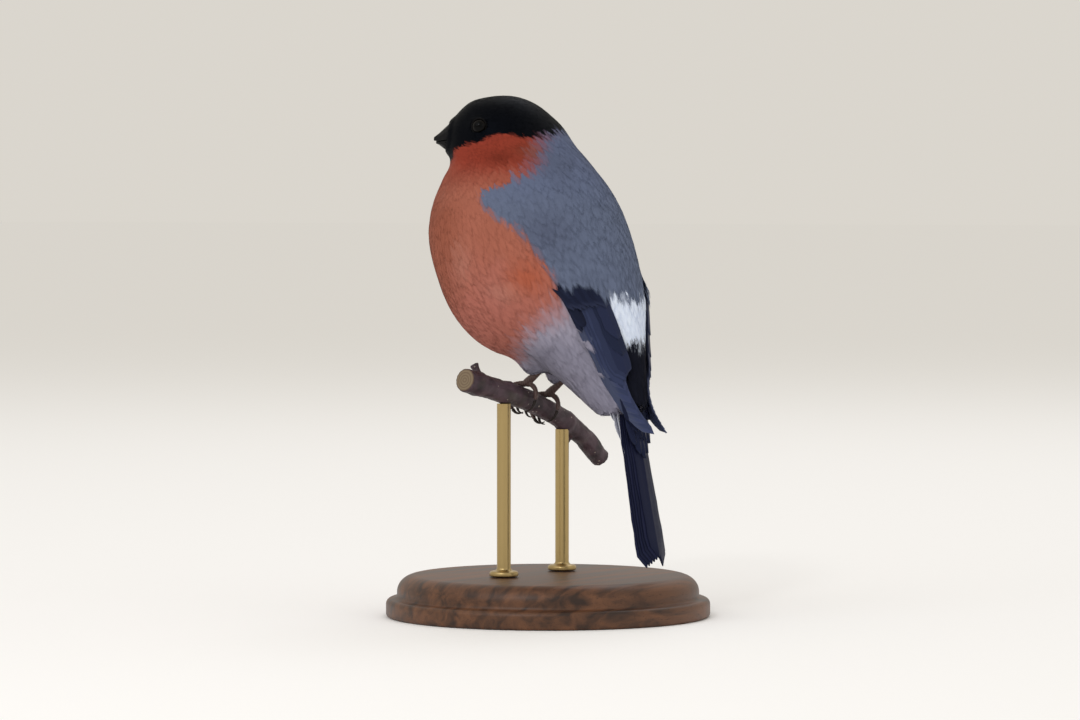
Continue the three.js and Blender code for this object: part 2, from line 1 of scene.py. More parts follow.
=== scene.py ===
# A male bullfinch at life size, gripping a short cut length of branch on a plain display stand.
# Places and sizes are in millimetres and degrees until a mesh is made from them.
# The bird faces -Y and its left side is +X. Its head is turned to its left.
import math
from contextlib import contextmanager
from functools import partial

import bpy
import numpy as np
from mathutils import Matrix, Vector
from mathutils.bvhtree import BVHTree
from mathutils.kdtree import KDTree


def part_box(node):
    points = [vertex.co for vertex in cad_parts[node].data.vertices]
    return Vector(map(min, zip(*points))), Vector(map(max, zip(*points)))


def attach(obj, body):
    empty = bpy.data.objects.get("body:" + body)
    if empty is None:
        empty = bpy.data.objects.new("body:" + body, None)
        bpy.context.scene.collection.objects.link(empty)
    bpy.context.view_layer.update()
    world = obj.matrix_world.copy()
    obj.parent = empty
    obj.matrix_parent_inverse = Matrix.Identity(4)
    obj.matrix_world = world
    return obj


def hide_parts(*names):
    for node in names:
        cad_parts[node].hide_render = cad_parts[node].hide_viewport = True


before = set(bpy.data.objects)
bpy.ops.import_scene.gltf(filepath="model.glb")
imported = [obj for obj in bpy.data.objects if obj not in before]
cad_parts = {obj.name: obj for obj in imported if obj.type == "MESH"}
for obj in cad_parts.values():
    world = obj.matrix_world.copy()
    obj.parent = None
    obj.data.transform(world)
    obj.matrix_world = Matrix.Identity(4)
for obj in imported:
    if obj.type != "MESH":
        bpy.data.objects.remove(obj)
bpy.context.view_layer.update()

mm = 0.001
rng = np.random.default_rng(11)  # every random draw comes from here
feet = np.array([0.0, -4.0, 64.5])  # the top of the perch between the feet
headTurn = 34
profileTurn = math.radians(36)  # how far the bird stands from a pure profile in the photo
sideOf = {"left": 1, "right": -1}


# Places and directions on the bird


def bird(left, forward, up):
    return feet + np.array([left, -forward, up])


# The way that the bird faces, raised by a pitch and turned to its left
def heading(pitch, turn=0):
    level = math.cos(math.radians(pitch))
    side, ahead = math.sin(math.radians(turn)), math.cos(math.radians(turn))
    return np.array([level * side, -level * ahead, math.sin(math.radians(pitch))])


headCentre = bird(1, 10.4, 72.3)
headAhead = heading(0, headTurn)
headLeft = heading(0, headTurn + 90)
billBase = headCentre + 13.5 * headAhead + np.array([0, 0, 1.5])
tailRoot = bird(0, -31.8, 5)
tailDown = -heading(79)
tailBack = np.array([0, -tailDown[2], tailDown[1]])  # out of the tail's upper side


# Distances to the left, forward and up from the feet, for rows of places
def onBird(places):
    away = places - feet
    return away[:, 0], -away[:, 1], away[:, 2]


# Distances to the left, forward and up from the middle of the head
def onHead(places):
    away = places - headCentre
    return away @ headLeft, away @ headAhead, away[:, 2]


def fromBill(places):
    return np.linalg.norm(places - billBase, axis=1)


# A place's mirror image on the bird's left, whose wing stands for both
def toLeft(place):
    return abs(place[0]), place[1], place[2]


def smoothStep(low, high, value):
    t = np.clip((value - low) / (high - low), 0, 1)
    return t * t * (3 - 2 * t)


def unit(rows):
    return rows / np.maximum(np.linalg.norm(rows, axis=-1, keepdims=True), 1e-9)


# A smooth curve through places, at shares from 0 to 1
def curveAt(places, shares):
    places = np.asarray(places, float)
    padded = np.vstack([2 * places[0] - places[1], places, 2 * places[-1] - places[-2]])
    scaled = np.clip(shares, 0, 1) * (len(places) - 1)
    k = np.minimum(scaled.astype(int), len(places) - 2)
    t = (scaled - k)[:, None]
    a, b, c, d = (padded[k + i] for i in range(4))
    bend = (2 * a - 5 * b + 4 * c - d) * t**2 + (3 * b - a - 3 * c + d) * t**3
    return 0.5 * (2 * b + (c - a) * t + bend)


# Colours and materials


# An sRGB hex colour as the linear numbers that Blender takes
def linear(code):
    parts = [int(code[i : i + 2], 16) / 255 for i in (1, 3, 5)]
    return np.array([c / 12.92 if c <= 0.04045 else ((c + 0.055) / 1.055) ** 2.4 for c in parts])


def rgba(code):
    return (*linear(code), 1)


# Rows of one colour
def plain(code, count):
    return np.tile(linear(code), (count, 1))


# Rows of colours, each drawn towards another by its own share
def blendTo(base, code, share):
    return base + (linear(code) - base) * share[:, None]


# Adds a node. Inputs takes constants, hex colours, and nodes or sockets to link, where a node stands
# for its first output. Stops are a ramp's places and colours, and the rest are its own settings.
def addNode(tree, kind, inputs=None, stops=(), **settings):
    node = tree.nodes.new("ShaderNode" + kind)
    for name, value in settings.items():
        setattr(node, name, value)
    for i, (place, code) in enumerate(stops):
        node.color_ramp.elements[i].position, node.color_ramp.elements[i].color = place, rgba(code)
    for name, value in (inputs or {}).items():
        if isinstance(value, str):
            value = rgba(value)
        if isinstance(value, bpy.types.Node):
            value = value.outputs[0]
        if isinstance(value, bpy.types.NodeSocket):
            tree.links.new(value, node.inputs[name])
        else:
            node.inputs[name].default_value = value
    return node


def newMaterial(name):
    material = bpy.data.materials.new(name)
    material.use_nodes = True
    material.node_tree.nodes.clear()
    return material, partial(addNode, material.node_tree)


def finishMaterial(material, colour, roughness, ior=1.5, gloss=0.5, bump=None, more=None):
    inputs = {"Base Color": colour, "Roughness": roughness, "IOR": ior, "Specular IOR Level": gloss}
    inputs |= ({"Normal": bump} if bump else {}) | (more or {})
    shader = addNode(material.node_tree, "BsdfPrincipled", inputs)
    addNode(material.node_tree, "OutputMaterial", {"Surface": shader})
    return material


# Contour feathers: loose keratin barbs with no gloss of their own. They scatter light softly and
# catch a little of it at their edges, which is the sheen. The colour is on the barbs themselves.
def contourFeathers(name, roughness, sheen, gloss, glossTint):
    material, add = newMaterial(name)
    tint = add("Attribute", attribute_name="tint")
    soft = {"Specular Tint": glossTint, "Sheen Weight": sheen, "Sheen Roughness": 0.45}
    return finishMaterial(material, tint, roughness, 1.55, gloss, more=soft)


# Flight feathers: flat closed vanes of keratin barbs hooked together. The barbs run out from the
# shaft at a slant and are drawn 0.3 mm apart, about twice the real spacing, so that they show.
def flightVanes(name, roughness, barbGap=0.3):
    material, add = newMaterial(name)
    tint = add("Attribute", attribute_name="tint")
    place = add("UVMap", uv_map="vane")
    parts = add("SeparateXYZ", {0: place})
    out = add("Math", {0: parts}, operation="ABSOLUTE")
    slant = add("Math", {0: out, 1: 1.3}, operation="MULTIPLY")
    along = add("Math", {0: parts.outputs[1], 1: slant}, operation="SUBTRACT")
    turns = add("Math", {0: along, 1: 2 * math.pi / barbGap}, operation="MULTIPLY")
    wave = add("Math", {0: turns}, operation="SINE")
    bump = add("Bump", {"Height": wave, "Strength": 0.2, "Distance": 0.02 * mm})
    solid = add("TexCoord").outputs["Object"]
    spread = add("TexNoise", {"Vector": solid, "Scale": 420.0, "Detail": 2.0})
    low, high = roughness - 0.07, roughness + 0.12
    rough = add("MapRange", {"Value": spread, "To Min": low, "To Max": high})
    return finishMaterial(material, tint, rough, 1.55, 0.16, bump, more={"Specular Tint": "#9db0e0"})


# Mesh tools


def pick(*objects):
    bpy.ops.object.select_all(action="DESELECT")
    for obj in objects:
        obj.select_set(True)
    bpy.context.view_layer.objects.active = objects[0]


# Edit mode, with all of an object's mesh selected
@contextmanager
def editing(obj):
    pick(obj)
    bpy.ops.object.mode_set(mode="EDIT")
    bpy.ops.mesh.select_all(action="SELECT")
    yield
    bpy.ops.object.mode_set(mode="OBJECT")


def modify(obj, kind, **settings):
    modifier = obj.modifiers.new(kind.lower(), kind)
    for name, value in settings.items():
        setattr(modifier, name, value)
    pick(obj)
    bpy.ops.object.modifier_apply(modifier=modifier.name)


def soften(obj, times, **more):
    modify(obj, "SMOOTH", factor=0.5, iterations=times, **more)


def remesh(obj, size):
    modify(obj, "REMESH", mode="VOXEL", voxel_size=size * mm)


def swell(obj, by):
    modify(obj, "DISPLACE", strength=by * mm, mid_level=0)


def shadeSmooth(obj):
    for face in obj.data.polygons:
        face.use_smooth = True


# One property of all of a mesh's vertices, corners or faces, width numbers for each
def readAll(items, field, width=1, kind=np.float32):
    flat = np.empty(len(items) * width, kind)
    items.foreach_get(field, flat)
    return flat.reshape(-1, width) if width > 1 else flat


def placesOf(obj):
    return readAll(obj.data.vertices, "co", 3).astype(float) / mm


def normalsOf(obj):
    return readAll(obj.data.vertices, "normal", 3).astype(float)


def setPlaces(obj, places):
    obj.data.vertices.foreach_set("co", (places * mm).astype(np.float32).ravel())
    obj.data.update()


def treeOf(*objects):
    places, faces = [], []
    for obj in objects:
        faces += [[v + len(places) for v in face.vertices] for face in obj.data.polygons]
        places += placesOf(obj).tolist()
    return BVHTree.FromPolygons(places, faces)


def nearTree(places):
    tree = KDTree(len(places))
    for i, place in enumerate(places):
        tree.insert(place, i)
    tree.balance()
    return tree


def newObject(name, data):
    obj = bpy.data.objects.new(name, data)
    bpy.context.scene.collection.objects.link(obj)
    return obj


# One of Blender's primitives, with nothing else selected
def begin(name, primitive, **settings):
    bpy.ops.object.select_all(action="DESELECT")
    primitive(**settings)
    bpy.context.object.name = name
    return bpy.context.object


# A mesh object from rows of places and of faces that all have as many corners
def meshFrom(name, places, faces):
    mesh = bpy.data.meshes.new(name)
    obj = newObject(name, mesh)
    count, corners = faces.shape
    mesh.vertices.add(len(places))
    setPlaces(obj, places)
    mesh.loops.add(count * corners)
    mesh.loops.foreach_set("vertex_index", faces.astype(np.int32).ravel())
    mesh.polygons.add(count)
    mesh.polygons.foreach_set("loop_start", np.arange(0, count * corners, corners, dtype=np.int32))
    mesh.polygons.foreach_set("use_smooth", np.ones(count, bool))
    mesh.update(calc_edges=True)
    return obj


# The faces of many copies of a pattern that has so many places
def repeatFaces(faces, places, count):
    return (faces + places * np.arange(count)[:, None, None]).reshape(-1, faces.shape[1])


def paint(obj, tints):
    layer = obj.data.attributes.new("tint", "FLOAT_COLOR", "POINT")
    layer.data.foreach_set("color", np.column_stack([tints, np.ones(len(tints))]).ravel())


def mapPlaces(obj, name, uv):
    corners = readAll(obj.data.loops, "vertex_index", kind=np.int32)
    layer = obj.data.uv_layers.new(name=name)
    layer.data.foreach_set("uv", uv[corners].astype(np.float32).ravel())


# A copy of a CAD node's mesh, with its loose triangles merged
def copyOf(node, name):
    obj = newObject(name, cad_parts[node].data.copy())
    obj.data.materials.clear()
    with editing(obj):
        bpy.ops.mesh.remove_doubles(threshold=0.005 * mm)
        bpy.ops.mesh.customdata_custom_splitnormals_clear()
    return obj


# Keeps what is above a height, and closes the cut
def keepAbove(obj, height):
    with editing(obj):
        bpy.ops.mesh.bisect(
            plane_co=(0, 0, height * mm), plane_no=(0, 0, 1), use_fill=True, clear_inner=True
        )


# Keeps the largest of a mesh's separate surfaces
def keepLargest(obj):
    with editing(obj):
        bpy.ops.mesh.separate(type="LOOSE")
    pieces = bpy.context.selected_objects
    largest = max(pieces, key=lambda one: len(one.data.vertices))
    if largest != obj:
        obj.data, largest.data = largest.data, obj.data
    for piece in pieces:
        if piece != obj:
            bpy.data.objects.remove(piece)


# A round solid from a profile of radius and height, built up ring by ring
def turned(name, profile, sides, centre=(0, 0)):
    radius, height = profile[0]
    place = Vector((centre[0] * mm, centre[1] * mm, height * mm))
    ring = {"vertices": sides, "radius": radius * mm, "fill_type": "NGON", "location": place}
    obj = begin(name, bpy.ops.mesh.primitive_circle_add, **ring)
    bpy.ops.object.transform_apply()
    with editing(obj):
        for (radius, height), (nextRadius, nextHeight) in zip(profile, profile[1:]):
            rise = (0, 0, (nextHeight - height) * mm)
            bpy.ops.mesh.extrude_region_move(TRANSFORM_OT_translate={"value": rise})
            grow = nextRadius / radius
            bpy.ops.transform.resize(value=(grow, grow, 1), center_override=place)
        bpy.ops.mesh.select_all(action="SELECT")
        bpy.ops.mesh.normals_make_consistent(inside=False)
    bpy.ops.object.shade_smooth_by_angle(angle=math.radians(32))
    return obj


# Turns a round thing that faces up so that it faces another way, and moves it to its place
def faceTo(obj, way, place):
    turn = Vector(way).to_track_quat("Z", "Y").to_matrix().to_4x4()
    obj.data.transform(Matrix.Translation(Vector(place) * mm) @ turn)
    obj.data.update()


def fit(obj, material, slot, *nodes):
    obj.data.materials.clear()
    obj.data.materials.append(material)
    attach(obj, "root")
    if nodes:
        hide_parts(*nodes)
    return obj


# The colours of the plumage, by place

plumage = {
    # front is a darker brown painted as shade down the front of the breast, where it turns from the light
    "cap": "#08090c", "cheek": "#8c3122", "breast": "#a66452", "front": "#925340", "streak": "#ae6f63",
    # The vent's white is greyed by painted shade, and the colour after it is darker painted shade for the
    # vent's lowest part
    "belly": "#ae6b5f", "vent": "#9f9bad", "ventShade": "#8b899b", "nape": "#606a86", "mantle": "#646e86",
    "rump": "#e3edff", "tailRoot": "#181a25",
    "napeBlur": 5.0,
    "sideBlur": 1.3,
    # Soft marks on each side of the body: how far forward on the side, the height, half the width
    # and half the height in mm, the colour and its strength
    # In the red: a more orange patch, then two paler pinkish-grey patches that are painted highlight along
    # a band across the breast
    "redTonesAndHighlights": [
        (2.9, 33.4, 6.0, 4.5, "#b4593a", 0.6), (21.0, 37.0, 2.5, 5.0, "#b27e70", 0.4),
        (9.0, 29.3, 4.5, 2.5, "#b27e70", 0.4),
    ],
    "greyMarks": [(-3.0, 46.0, 8.0, 7.0, "#535a70", 0.7), (-7.0, 64.7, 6.0, 5.0, "#535a6e", 0.6)],
    # The same for the cheek: how far ahead and how high on the head
    # The first two are painted shade, darker under the eye and towards the back of the cheek; the third is
    # a browner tone between the red and the grey
    "cheekShadeAndTones": [
        (0.5, -4.6, 4.5, 2.2, "#5c2418", 0.6), (-5.5, -2.6, 3.0, 2.5, "#6b3525", 0.45),
        (-9.3, -3.3, 2.5, 2.5, "#7a5348", 0.5),
    ],
    # The cap's lower edge: how far ahead on the head, and its height
    "capEdge": [
        (-16.8, 2.6), (-13.2, 1.5), (-9.2, 1.2), (-5.2, 1.2), (-1.1, 2.4), (1.4, 2.5), (3.4, 1.6),
        (5.6, 1.0), (7.4, 0.4), (9.1, -0.3), (12.4, -2.0), (15.4, -4.2),
    ],
    # The border between red and grey: a height, and how far forward it is, on the body and the head
    "redEdge": [
        (0, -36), (12, -33), (22, -28), (29.3, -21.4), (34.8, -19.2), (38, -17.6), (42.9, -14),
        (45.5, -11.2), (48.7, -5.6), (51.2, -0.6), (54.5, 2.6), (56.7, 4.2), (59.5, -0.5), (62.9, -8.2),
    ],
    "cheekEdge": [(-20, -4), (-9.4, -8), (-2.4, -10.8), (0.8, -11.8), (4, -12)],
}


# Uneven patches, from -1 to 1, with bumps about as wide as size
def patches(places, size, shift):
    a, b, c = (places / size).T
    one = np.sin(a * 2.1 + 1.7 * np.sin(b * 1.3 + shift) + shift)
    two = np.sin(b * 1.9 + 1.5 * np.sin(c * 1.1 + 2 * shift))
    three = np.sin(c * 2.3 + 1.6 * np.sin(a * 0.9 + 3 * shift))
    return (one + two + three) / 3


def blendAll(base, *layers):
    for tone, share in layers:
        base = blendTo(base, plumage[tone], share)
    return base


def addMarks(base, marks, across, up):
    for at, height, width, tall, code, share in marks:
        gap = ((across - at) / width) ** 2 + ((up - height) / tall) ** 2
        base = blendTo(base, code, share * np.exp(-gap))
    return base


def capShare(places):
    ahead, up = onHead(places)[1:]
    wander = 0.5 * patches(places, 2.0, 0.4)
    above = up - np.interp(ahead, *zip(*plumage["capEdge"])) + wander
    mask = 8.7 - fromBill(places) + wander
    return np.where(onBird(places)[2] > 55, smoothStep(-0.5, 0.5, np.maximum(above, mask)), 0)


def plumageTints(places):
    left, forward, up = onBird(places)
    headForward, headUp = onHead(places)[1:]
    wander = patches(places, 5.0, 1.1)
    # How far a place is on the red side of the border between red and grey
    bodyRed = forward - np.interp(up, *zip(*plumage["redEdge"])) + 0.5 * wander
    neckRed = headForward - np.interp(headUp, *zip(*plumage["cheekEdge"])) + 1.2 * wander
    high = smoothStep(56, 67, up)
    red = bodyRed * (1 - high) + neckRed * high
    blur = plumage["sideBlur"] + (plumage["napeBlur"] - plumage["sideBlur"]) * smoothStep(58, 66, up)
    redShare = smoothStep(-1, 1, red / blur)
    # The grey of the back, then the red of the underparts and the vent, pale but greyed by painted shade
    base = blendTo(plain(plumage["mantle"], len(places)), plumage["nape"], smoothStep(50, 66, up))
    across = np.abs(left) * math.sin(profileTurn) + forward * math.cos(profileTurn)
    base = addMarks(base, plumage["greyMarks"], across, up)
    streak = smoothStep(0.0, 0.8, patches(places * np.array([1, 1, 0.5]), 5.0, 2.2))
    under = blendAll(
        plain(plumage["breast"], len(places)),
        ("cheek", smoothStep(56, 68, up) * 0.85),
        ("streak", 0.6 * streak * smoothStep(54, 44, up)),
        ("belly", smoothStep(44, 22, up + 3 * wander) * 0.8),
        # Painted shade: the front of the breast darker, where it turns from the light
        ("front", smoothStep(18, 27, across) * smoothStep(58, 50, up) * 0.8),
    )
    tailwards = np.linalg.norm(places - bird(0, -30, 0), axis=1)
    under = blendAll(
        # A more orange patch, and paler pinkish-grey painted highlight across the breast
        addMarks(under, plumage["redTonesAndHighlights"], across, up),
        ("vent", smoothStep(36, 27.5, tailwards + 1.5 * wander)),
        # Painted shade: the lowest part of the vent, by the tail, darker still
        ("ventShade", smoothStep(19, 12, up + wander) * smoothStep(32, 25, tailwards)),
    )
    base = base + (under - base) * redShare[:, None]
    # On the cheek: painted shade under the eye and towards its back, then a browner tone behind it
    base = addMarks(base, plumage["cheekShadeAndTones"], headForward, headUp)
    # The white rump between the wings, then the black coverts of the tail
    behind = (1 - redShare) * smoothStep(9.2, 8.0, np.abs(left) + 0.4 * wander)
    rumpTop = 25.2 + 0.45 * np.abs(left) + 0.8 * wander
    onTail = smoothStep(-0.6, 0.6, (places - tailRoot) @ tailBack) * smoothStep(14, 12.4, up)
    return blendAll(
        base,
        ("rump", smoothStep(0.9, -0.9, up - rumpTop) * behind),
        ("tailRoot", smoothStep(13.6, 12.4, up + 0.6 * wander) * behind),
        ("tailRoot", onTail),
        ("cap", capShare(places)),
    )


# The folded wing's sheet: a lattice between its two edges, lifted to the outside of the CAD wing

wing = {
    "lower": [
        (21.6, -3.6, 57), (24.4, -11.7, 43), (20.5, -22.8, 28.8), (14.4, -28.2, 12.8), (7.6, -33.6, -2.9),
        (6, -42.8, -11.3),
    ],
    "upper": [
        (18.4, -11.4, 55), (13.4, -25.5, 40), (9.6, -31.7, 28), (4.6, -35.3, 12), (4.2, -39.4, 0.5),
        (4.4, -45.8, -8.5),
    ],
    "rows": 45,
    "columns": 15,
    "reach": 14,  # how far from the lattice the CAD wing is looked for
    "fillPasses": 60,
    "smoothPasses": 6,
}


def wingEdge(name, shares):
    return curveAt([bird(*place) for place in wing[name]], shares)


def latticeNormals(lattice):
    normals = unit(np.cross(np.gradient(lattice, axis=0), np.gradient(lattice, axis=1)))
    outward = unit(lattice - bird(0, -10, 30))
    return normals * np.sign((normals * outward).sum(-1).mean())


# Fills the gaps in a grid of heights from their neighbours, then smooths it
def evenOut(grid):
    for step in range(wing["fillPasses"] + wing["smoothPasses"]):
        padded = np.pad(grid, 1, mode="edge")
        rows, columns = grid.shape
        near = np.stack([padded[a : a + rows, b : b + columns] for a in range(3) for b in range(3)])
        known = ~np.isnan(near)
        mean = np.where(known, near, 0).sum(0) / np.maximum(known.sum(0), 1)
        mean[known.sum(0) == 0] = np.nan
        grid = np.where(np.isnan(grid), mean, grid) if step < wing["fillPasses"] else mean
    return grid


def wingLattice():
    lower, upper = (wingEdge(name, np.linspace(0, 1, wing["rows"]))[:, None] for name in ("lower", "upper"))
    across = np.linspace(0, 1, wing["columns"])[None, :, None]
    lattice = lower * (1 - across) + upper * across
    normals = latticeNormals(lattice)
    surface = treeOf(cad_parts["wing_left"])
    heights = np.full(lattice.shape[:2], np.nan)
    for at in np.ndindex(heights.shape):
        start = Vector(lattice[at] + normals[at] * wing["reach"])
        gap = surface.ray_cast(start, Vector(-normals[at]), 2 * wing["reach"])[3]
        if gap is not None:
            heights[at] = wing["reach"] - gap
    return lattice + normals * evenOut(heights)[:, :, None]


wingPlaces = wingLattice()
wingNormals = latticeNormals(wingPlaces)
print("wing sheet", np.isnan(wingPlaces).sum())


# A grid's values between its rows i and i + 1, and its columns j and j + 1
def mixed(grid, i, j, a, b):
    near = grid[i, j] * (1 - b) + grid[i, j + 1] * b
    far = grid[i + 1, j] * (1 - b) + grid[i + 1, j + 1] * b
    return near * (1 - a) + far * a


# Places on the left wing's sheet, lifted off it. Side -1 mirrors them to the right wing.
def wingSheet(side, along, across, lift):
    row = np.clip(along, 0, 1) * (wing["rows"] - 1)
    column = np.clip(across, 0, 1) * (wing["columns"] - 1)
    i = np.minimum(row.astype(int), wing["rows"] - 2)
    j = np.minimum(column.astype(int), wing["columns"] - 2)
    at = i, j, (row - i)[..., None], (column - j)[..., None]
    place = mixed(wingPlaces, *at) + unit(mixed(wingNormals, *at)) * lift[..., None]
    return place * np.array([side, 1, 1])


def wingSpan(along):
    row = np.clip(np.round(along * (wing["rows"] - 1)).astype(int), 0, wing["rows"] - 1)
    return np.linalg.norm(wingPlaces[row, 0] - wingPlaces[row, -1], axis=-1)


# One vane with its shaft: a thin closed plate on a sheet. A feather's root and tip are places
# along and across the sheet. Its shaft lies nearer the outer edge, by the share in shaft.
vane = {
    "rows": 15,
    "across": np.array([-1, -0.93, -0.55, -0.07, 0, 0.07, 0.55, 0.93, 1]),
    "thickness": 0.14,
    "ridge": 0.16,  # how far the shaft stands proud
    "ragged": 0.035,  # how uneven the edges are
}


# The faces of a closed plate: its top, its underside and its rim
def plateFaces(rows, columns):
    cell = np.arange(rows * columns).reshape(rows, columns)
    upper = np.stack([cell[:-1, :-1], cell[:-1, 1:], cell[1:, 1:], cell[1:, :-1]], -1).reshape(-1, 4)
    lower = upper[:, ::-1] + rows * columns
    rim = np.concatenate([cell[0, :-1], cell[:-1, -1], cell[-1, :0:-1], cell[:0:-1, 0]])
    following = np.roll(rim, -1)
    border = np.stack([rim, rim + rows * columns, following + rows * columns, following], -1)
    return np.concatenate([upper, lower, border])


def vaneBreadth(share, point):
    base = 0.45 + 0.55 * smoothStep(0, 0.3, share)
    past = np.clip((share - point) / (1 - point), 0, 1)
    return base * np.sqrt(np.maximum(1 - past**2.3, 0.0)) + 0.02


def makeVane(sheet, span, feather):
    share = np.linspace(0, 1, vane["rows"]) ** 0.9
    across = vane["across"]
    root, tip, lift = feather["root"], feather["tip"], feather["lift"]
    along = root[0] + (tip[0] - root[0]) * share
    middle = root[1] + (tip[1] - root[1]) * share
    half = feather["width"] / 2 * vaneBreadth(share, feather.get("point", 0.7))
    half *= 1 + vane["ragged"] * rng.standard_normal(vane["rows"]) * (share > 0.15)
    wide = half[:, None] * (across * (1 + np.sign(across) * feather["shaft"]))
    edgeDrop = feather["camber"] * feather["width"] * across**2
    ridge = np.where(across == 0, vane["ridge"], 0.0) * (1.15 - share[:, None])
    rise = lift[0] + (lift[1] - lift[0]) * share
    height = rise[:, None] - edgeDrop - feather["tilt"] * across / 2 + ridge
    place = np.broadcast_to(along[:, None], wide.shape)
    sidestep = middle[:, None] + wide / span(along)[:, None]
    # The roots of a wing's feathers sink under the coat, deepest along the wing's lower edge
    lowerEdge = smoothStep(0.3, 0.05, sidestep) * smoothStep(0.42, 0.33, place)
    height = height - feather.get("bury", 0) * np.maximum(smoothStep(0.37, 0.29, place), 3 * lowerEdge)
    top = sheet(place, sidestep, height)
    under = sheet(place, sidestep, height - vane["thickness"])
    shaftColumn = len(across) // 2
    length = np.linalg.norm(top[-1, shaftColumn] - top[0, shaftColumn])
    flat = np.stack(np.broadcast_arrays(wide, share[:, None] * length), -1).reshape(-1, 2)
    body = plain(feather["tint"], wide.size)
    if "fringe" in feather:
        fringed = ((across < -0.9) & (share[:, None] > 0.2)).ravel()
        body = blendTo(body, feather["fringe"], fringed * 0.8)
    if "tipTint" in feather:
        outer = smoothStep(*feather["tipFrom"], np.repeat(share, len(across)))
        body = blendTo(body, feather["tipTint"], outer)
    dull = body * 0.75 + 0.012
    points = np.concatenate([top.reshape(-1, 3), under.reshape(-1, 3)])
    return points, np.concatenate([flat, flat]), np.concatenate([body, dull])


# Joins vanes into one piece, with their barbs' places and their colours
def joinVanes(name, made):
    points, flat, tints = (np.concatenate(part) for part in zip(*made))
    plate = plateFaces(vane["rows"], len(vane["across"]))
    obj = meshFrom(name, points, repeatFaces(plate, len(made[0][0]), len(made)))
    mapPlaces(obj, "vane", flat)
    paint(obj, tints)
    with editing(obj):
        bpy.ops.mesh.normals_make_consistent(inside=False)
    bpy.ops.object.shade_smooth_by_angle(angle=math.radians(40))
    return obj


# The wing's rows, from the outermost feather to the innermost. Those nearer the back lie on top.
wingRows = [
    {"count": 9, "shaft": -0.45, "root": [(0.33, 0.2), (0.35, 0.5)], "tip": [(1.0, 0.5), (0.75, 0.6)],
     "width": [4.6, 5.6], "lift": [(-1.5, -1.1), (-1.0, -0.5)], "tints": ("#3a4160", "#343b57"),
     "fringe": "#474d63"},
    {"count": 6, "shaft": -0.3, "root": [(0.33, 0.45), (0.33, 0.72)], "tip": [(0.745, 0.5), (0.7, 0.74)],
     "width": [5.6, 6.2], "lift": [(-1.0, -0.5), (-0.6, -0.1)], "tints": ("#343b57", "#2d334c")},
    {"count": 3, "shaft": -0.1, "root": [(0.31, 0.72), (0.29, 0.86)], "tip": [(0.68, 0.8), (0.54, 0.86)],
     "width": [6.4, 5.4], "lift": [(-0.6, 0.05), (-0.4, 0.3)], "tints": ("#262b43", "#20253a")},
    {"count": 4, "shaft": -0.3, "root": [(0.33, 0.06), (0.33, 0.2)], "tip": [(0.53, 0.1), (0.5, 0.24)],
     "width": [3.4, 3.6], "lift": [(-0.9, -0.35), (-0.8, -0.3)], "tints": ("#1d2033", "#191c2d")},
    {"count": 9, "shaft": -0.15, "root": [(0.28, 0.1), (0.27, 0.88)], "tip": [(0.45, 0.12), (0.43, 0.87)],
     "width": [4.4, 4.2], "lift": [(-0.7, 0.15), (-0.7, 0.35)], "tints": ("#1c2034", "#181b2d"),
     "tipTint": "#2c3147", "tipFrom": (0.86, 0.99)},
]


def spreadRow(row):
    feathers = []
    for i, share in enumerate(np.arange(row["count"]) / (row["count"] - 1)):
        feather = {**row, "tilt": 0.4, "camber": 0.05, "bury": 1.1, "tint": row["tints"][i % 2]}
        for part in ("root", "tip", "width", "lift"):
            first, last = np.array(row[part], float)
            feather[part] = first * (1 - share) + last * share
        feather["tip"] = feather["tip"] + rng.normal(0, 0.004, 2)
        feather["lift"] = feather["lift"] + i * 0.012
        feathers.append(feather)
    return feathers


glossyVanes = flightVanes("Flight feathers, glossy blue black", 0.36)
wingObjects = []
for name, side in sideOf.items():
    sheet = partial(wingSheet, side)
    made = [makeVane(sheet, wingSpan, feather) for row in wingRows for feather in spreadRow(row)]
    wingObjects.append(joinVanes(f"wing_feathers_{name}", made))
    fit(wingObjects[-1], glossyVanes, "flight_feathers", f"wing_{name}")
print("wings")


# The tail: six pairs on a straight sheet, the middle pair on top, with coverts above and below

tail = {
    "length": 54.5,
    "width": 13.4,
    "pairs": 6,
    # Each row of coverts: how many, how far they spread to each side, the shares of the tail's
    # length where they start and end, their width, how far root and tip stand off, and the colour
    "upperCoverts": [
        (5, 3.6, -0.02, 0.42, 4.6, (1.0, 1.9), "#1c2036"),
        (6, 4.4, -0.02, 0.33, 4.6, (1.3, 2.4), "#191c30"),
        (5, 4.0, -0.02, 0.24, 4.4, (1.6, 2.8), "#171a2b"),
    ],
    "underCoverts": [
        (5, 3.4, 0.1, 0.5, 5.0, (2.2, 1.7), "#d5d8e6"),
        (6, 4.2, 0.08, 0.42, 5.0, (3.6, 2.1), "#d0d3e1"),
        (6, 4.6, 0.06, 0.34, 5.0, (5.2, 2.8), "#cbcddb"),
        (6, 4.6, 0.04, 0.27, 4.8, (6.8, 3.8), "#c4c5d4"),
    ],
}


def tailSheet(along, across, lift):
    start = tailRoot + 0.4 * tailBack
    run = start + along[..., None] * tail["length"] * tailDown
    aside = across[..., None] * np.array([1.0, 0, 0])
    return run + aside + (lift - 0.012 * across**2)[..., None] * tailBack


def underSheet(along, across, lift):
    return tailSheet(along, across, -lift)


def tailFeathers():
    made = []
    for side in (-1, 1):
        for pair in range(tail["pairs"]):
            outside = pair / (tail["pairs"] - 1)
            width = 6.6 - 1.4 * outside
            edge = 3.7 + (tail["width"] / 2 - 3.7) * outside
            feather = {"root": (0.02, side * 1.4 * outside), "width": width, "tilt": 0.0, "camber": 0.04}
            feather["tip"] = (0.957 + 0.043 * outside, side * (edge - width / 2))
            feather["lift"] = (0.4 - 0.3 * pair, 1.3 - 0.4 * pair + (0.15 if side > 0 else 0))
            feather |= {"shaft": side * 0.35 * outside, "point": 0.86}
            made.append(feather | {"tint": "#1c1f38" if pair % 2 else "#181b31"})
    return made


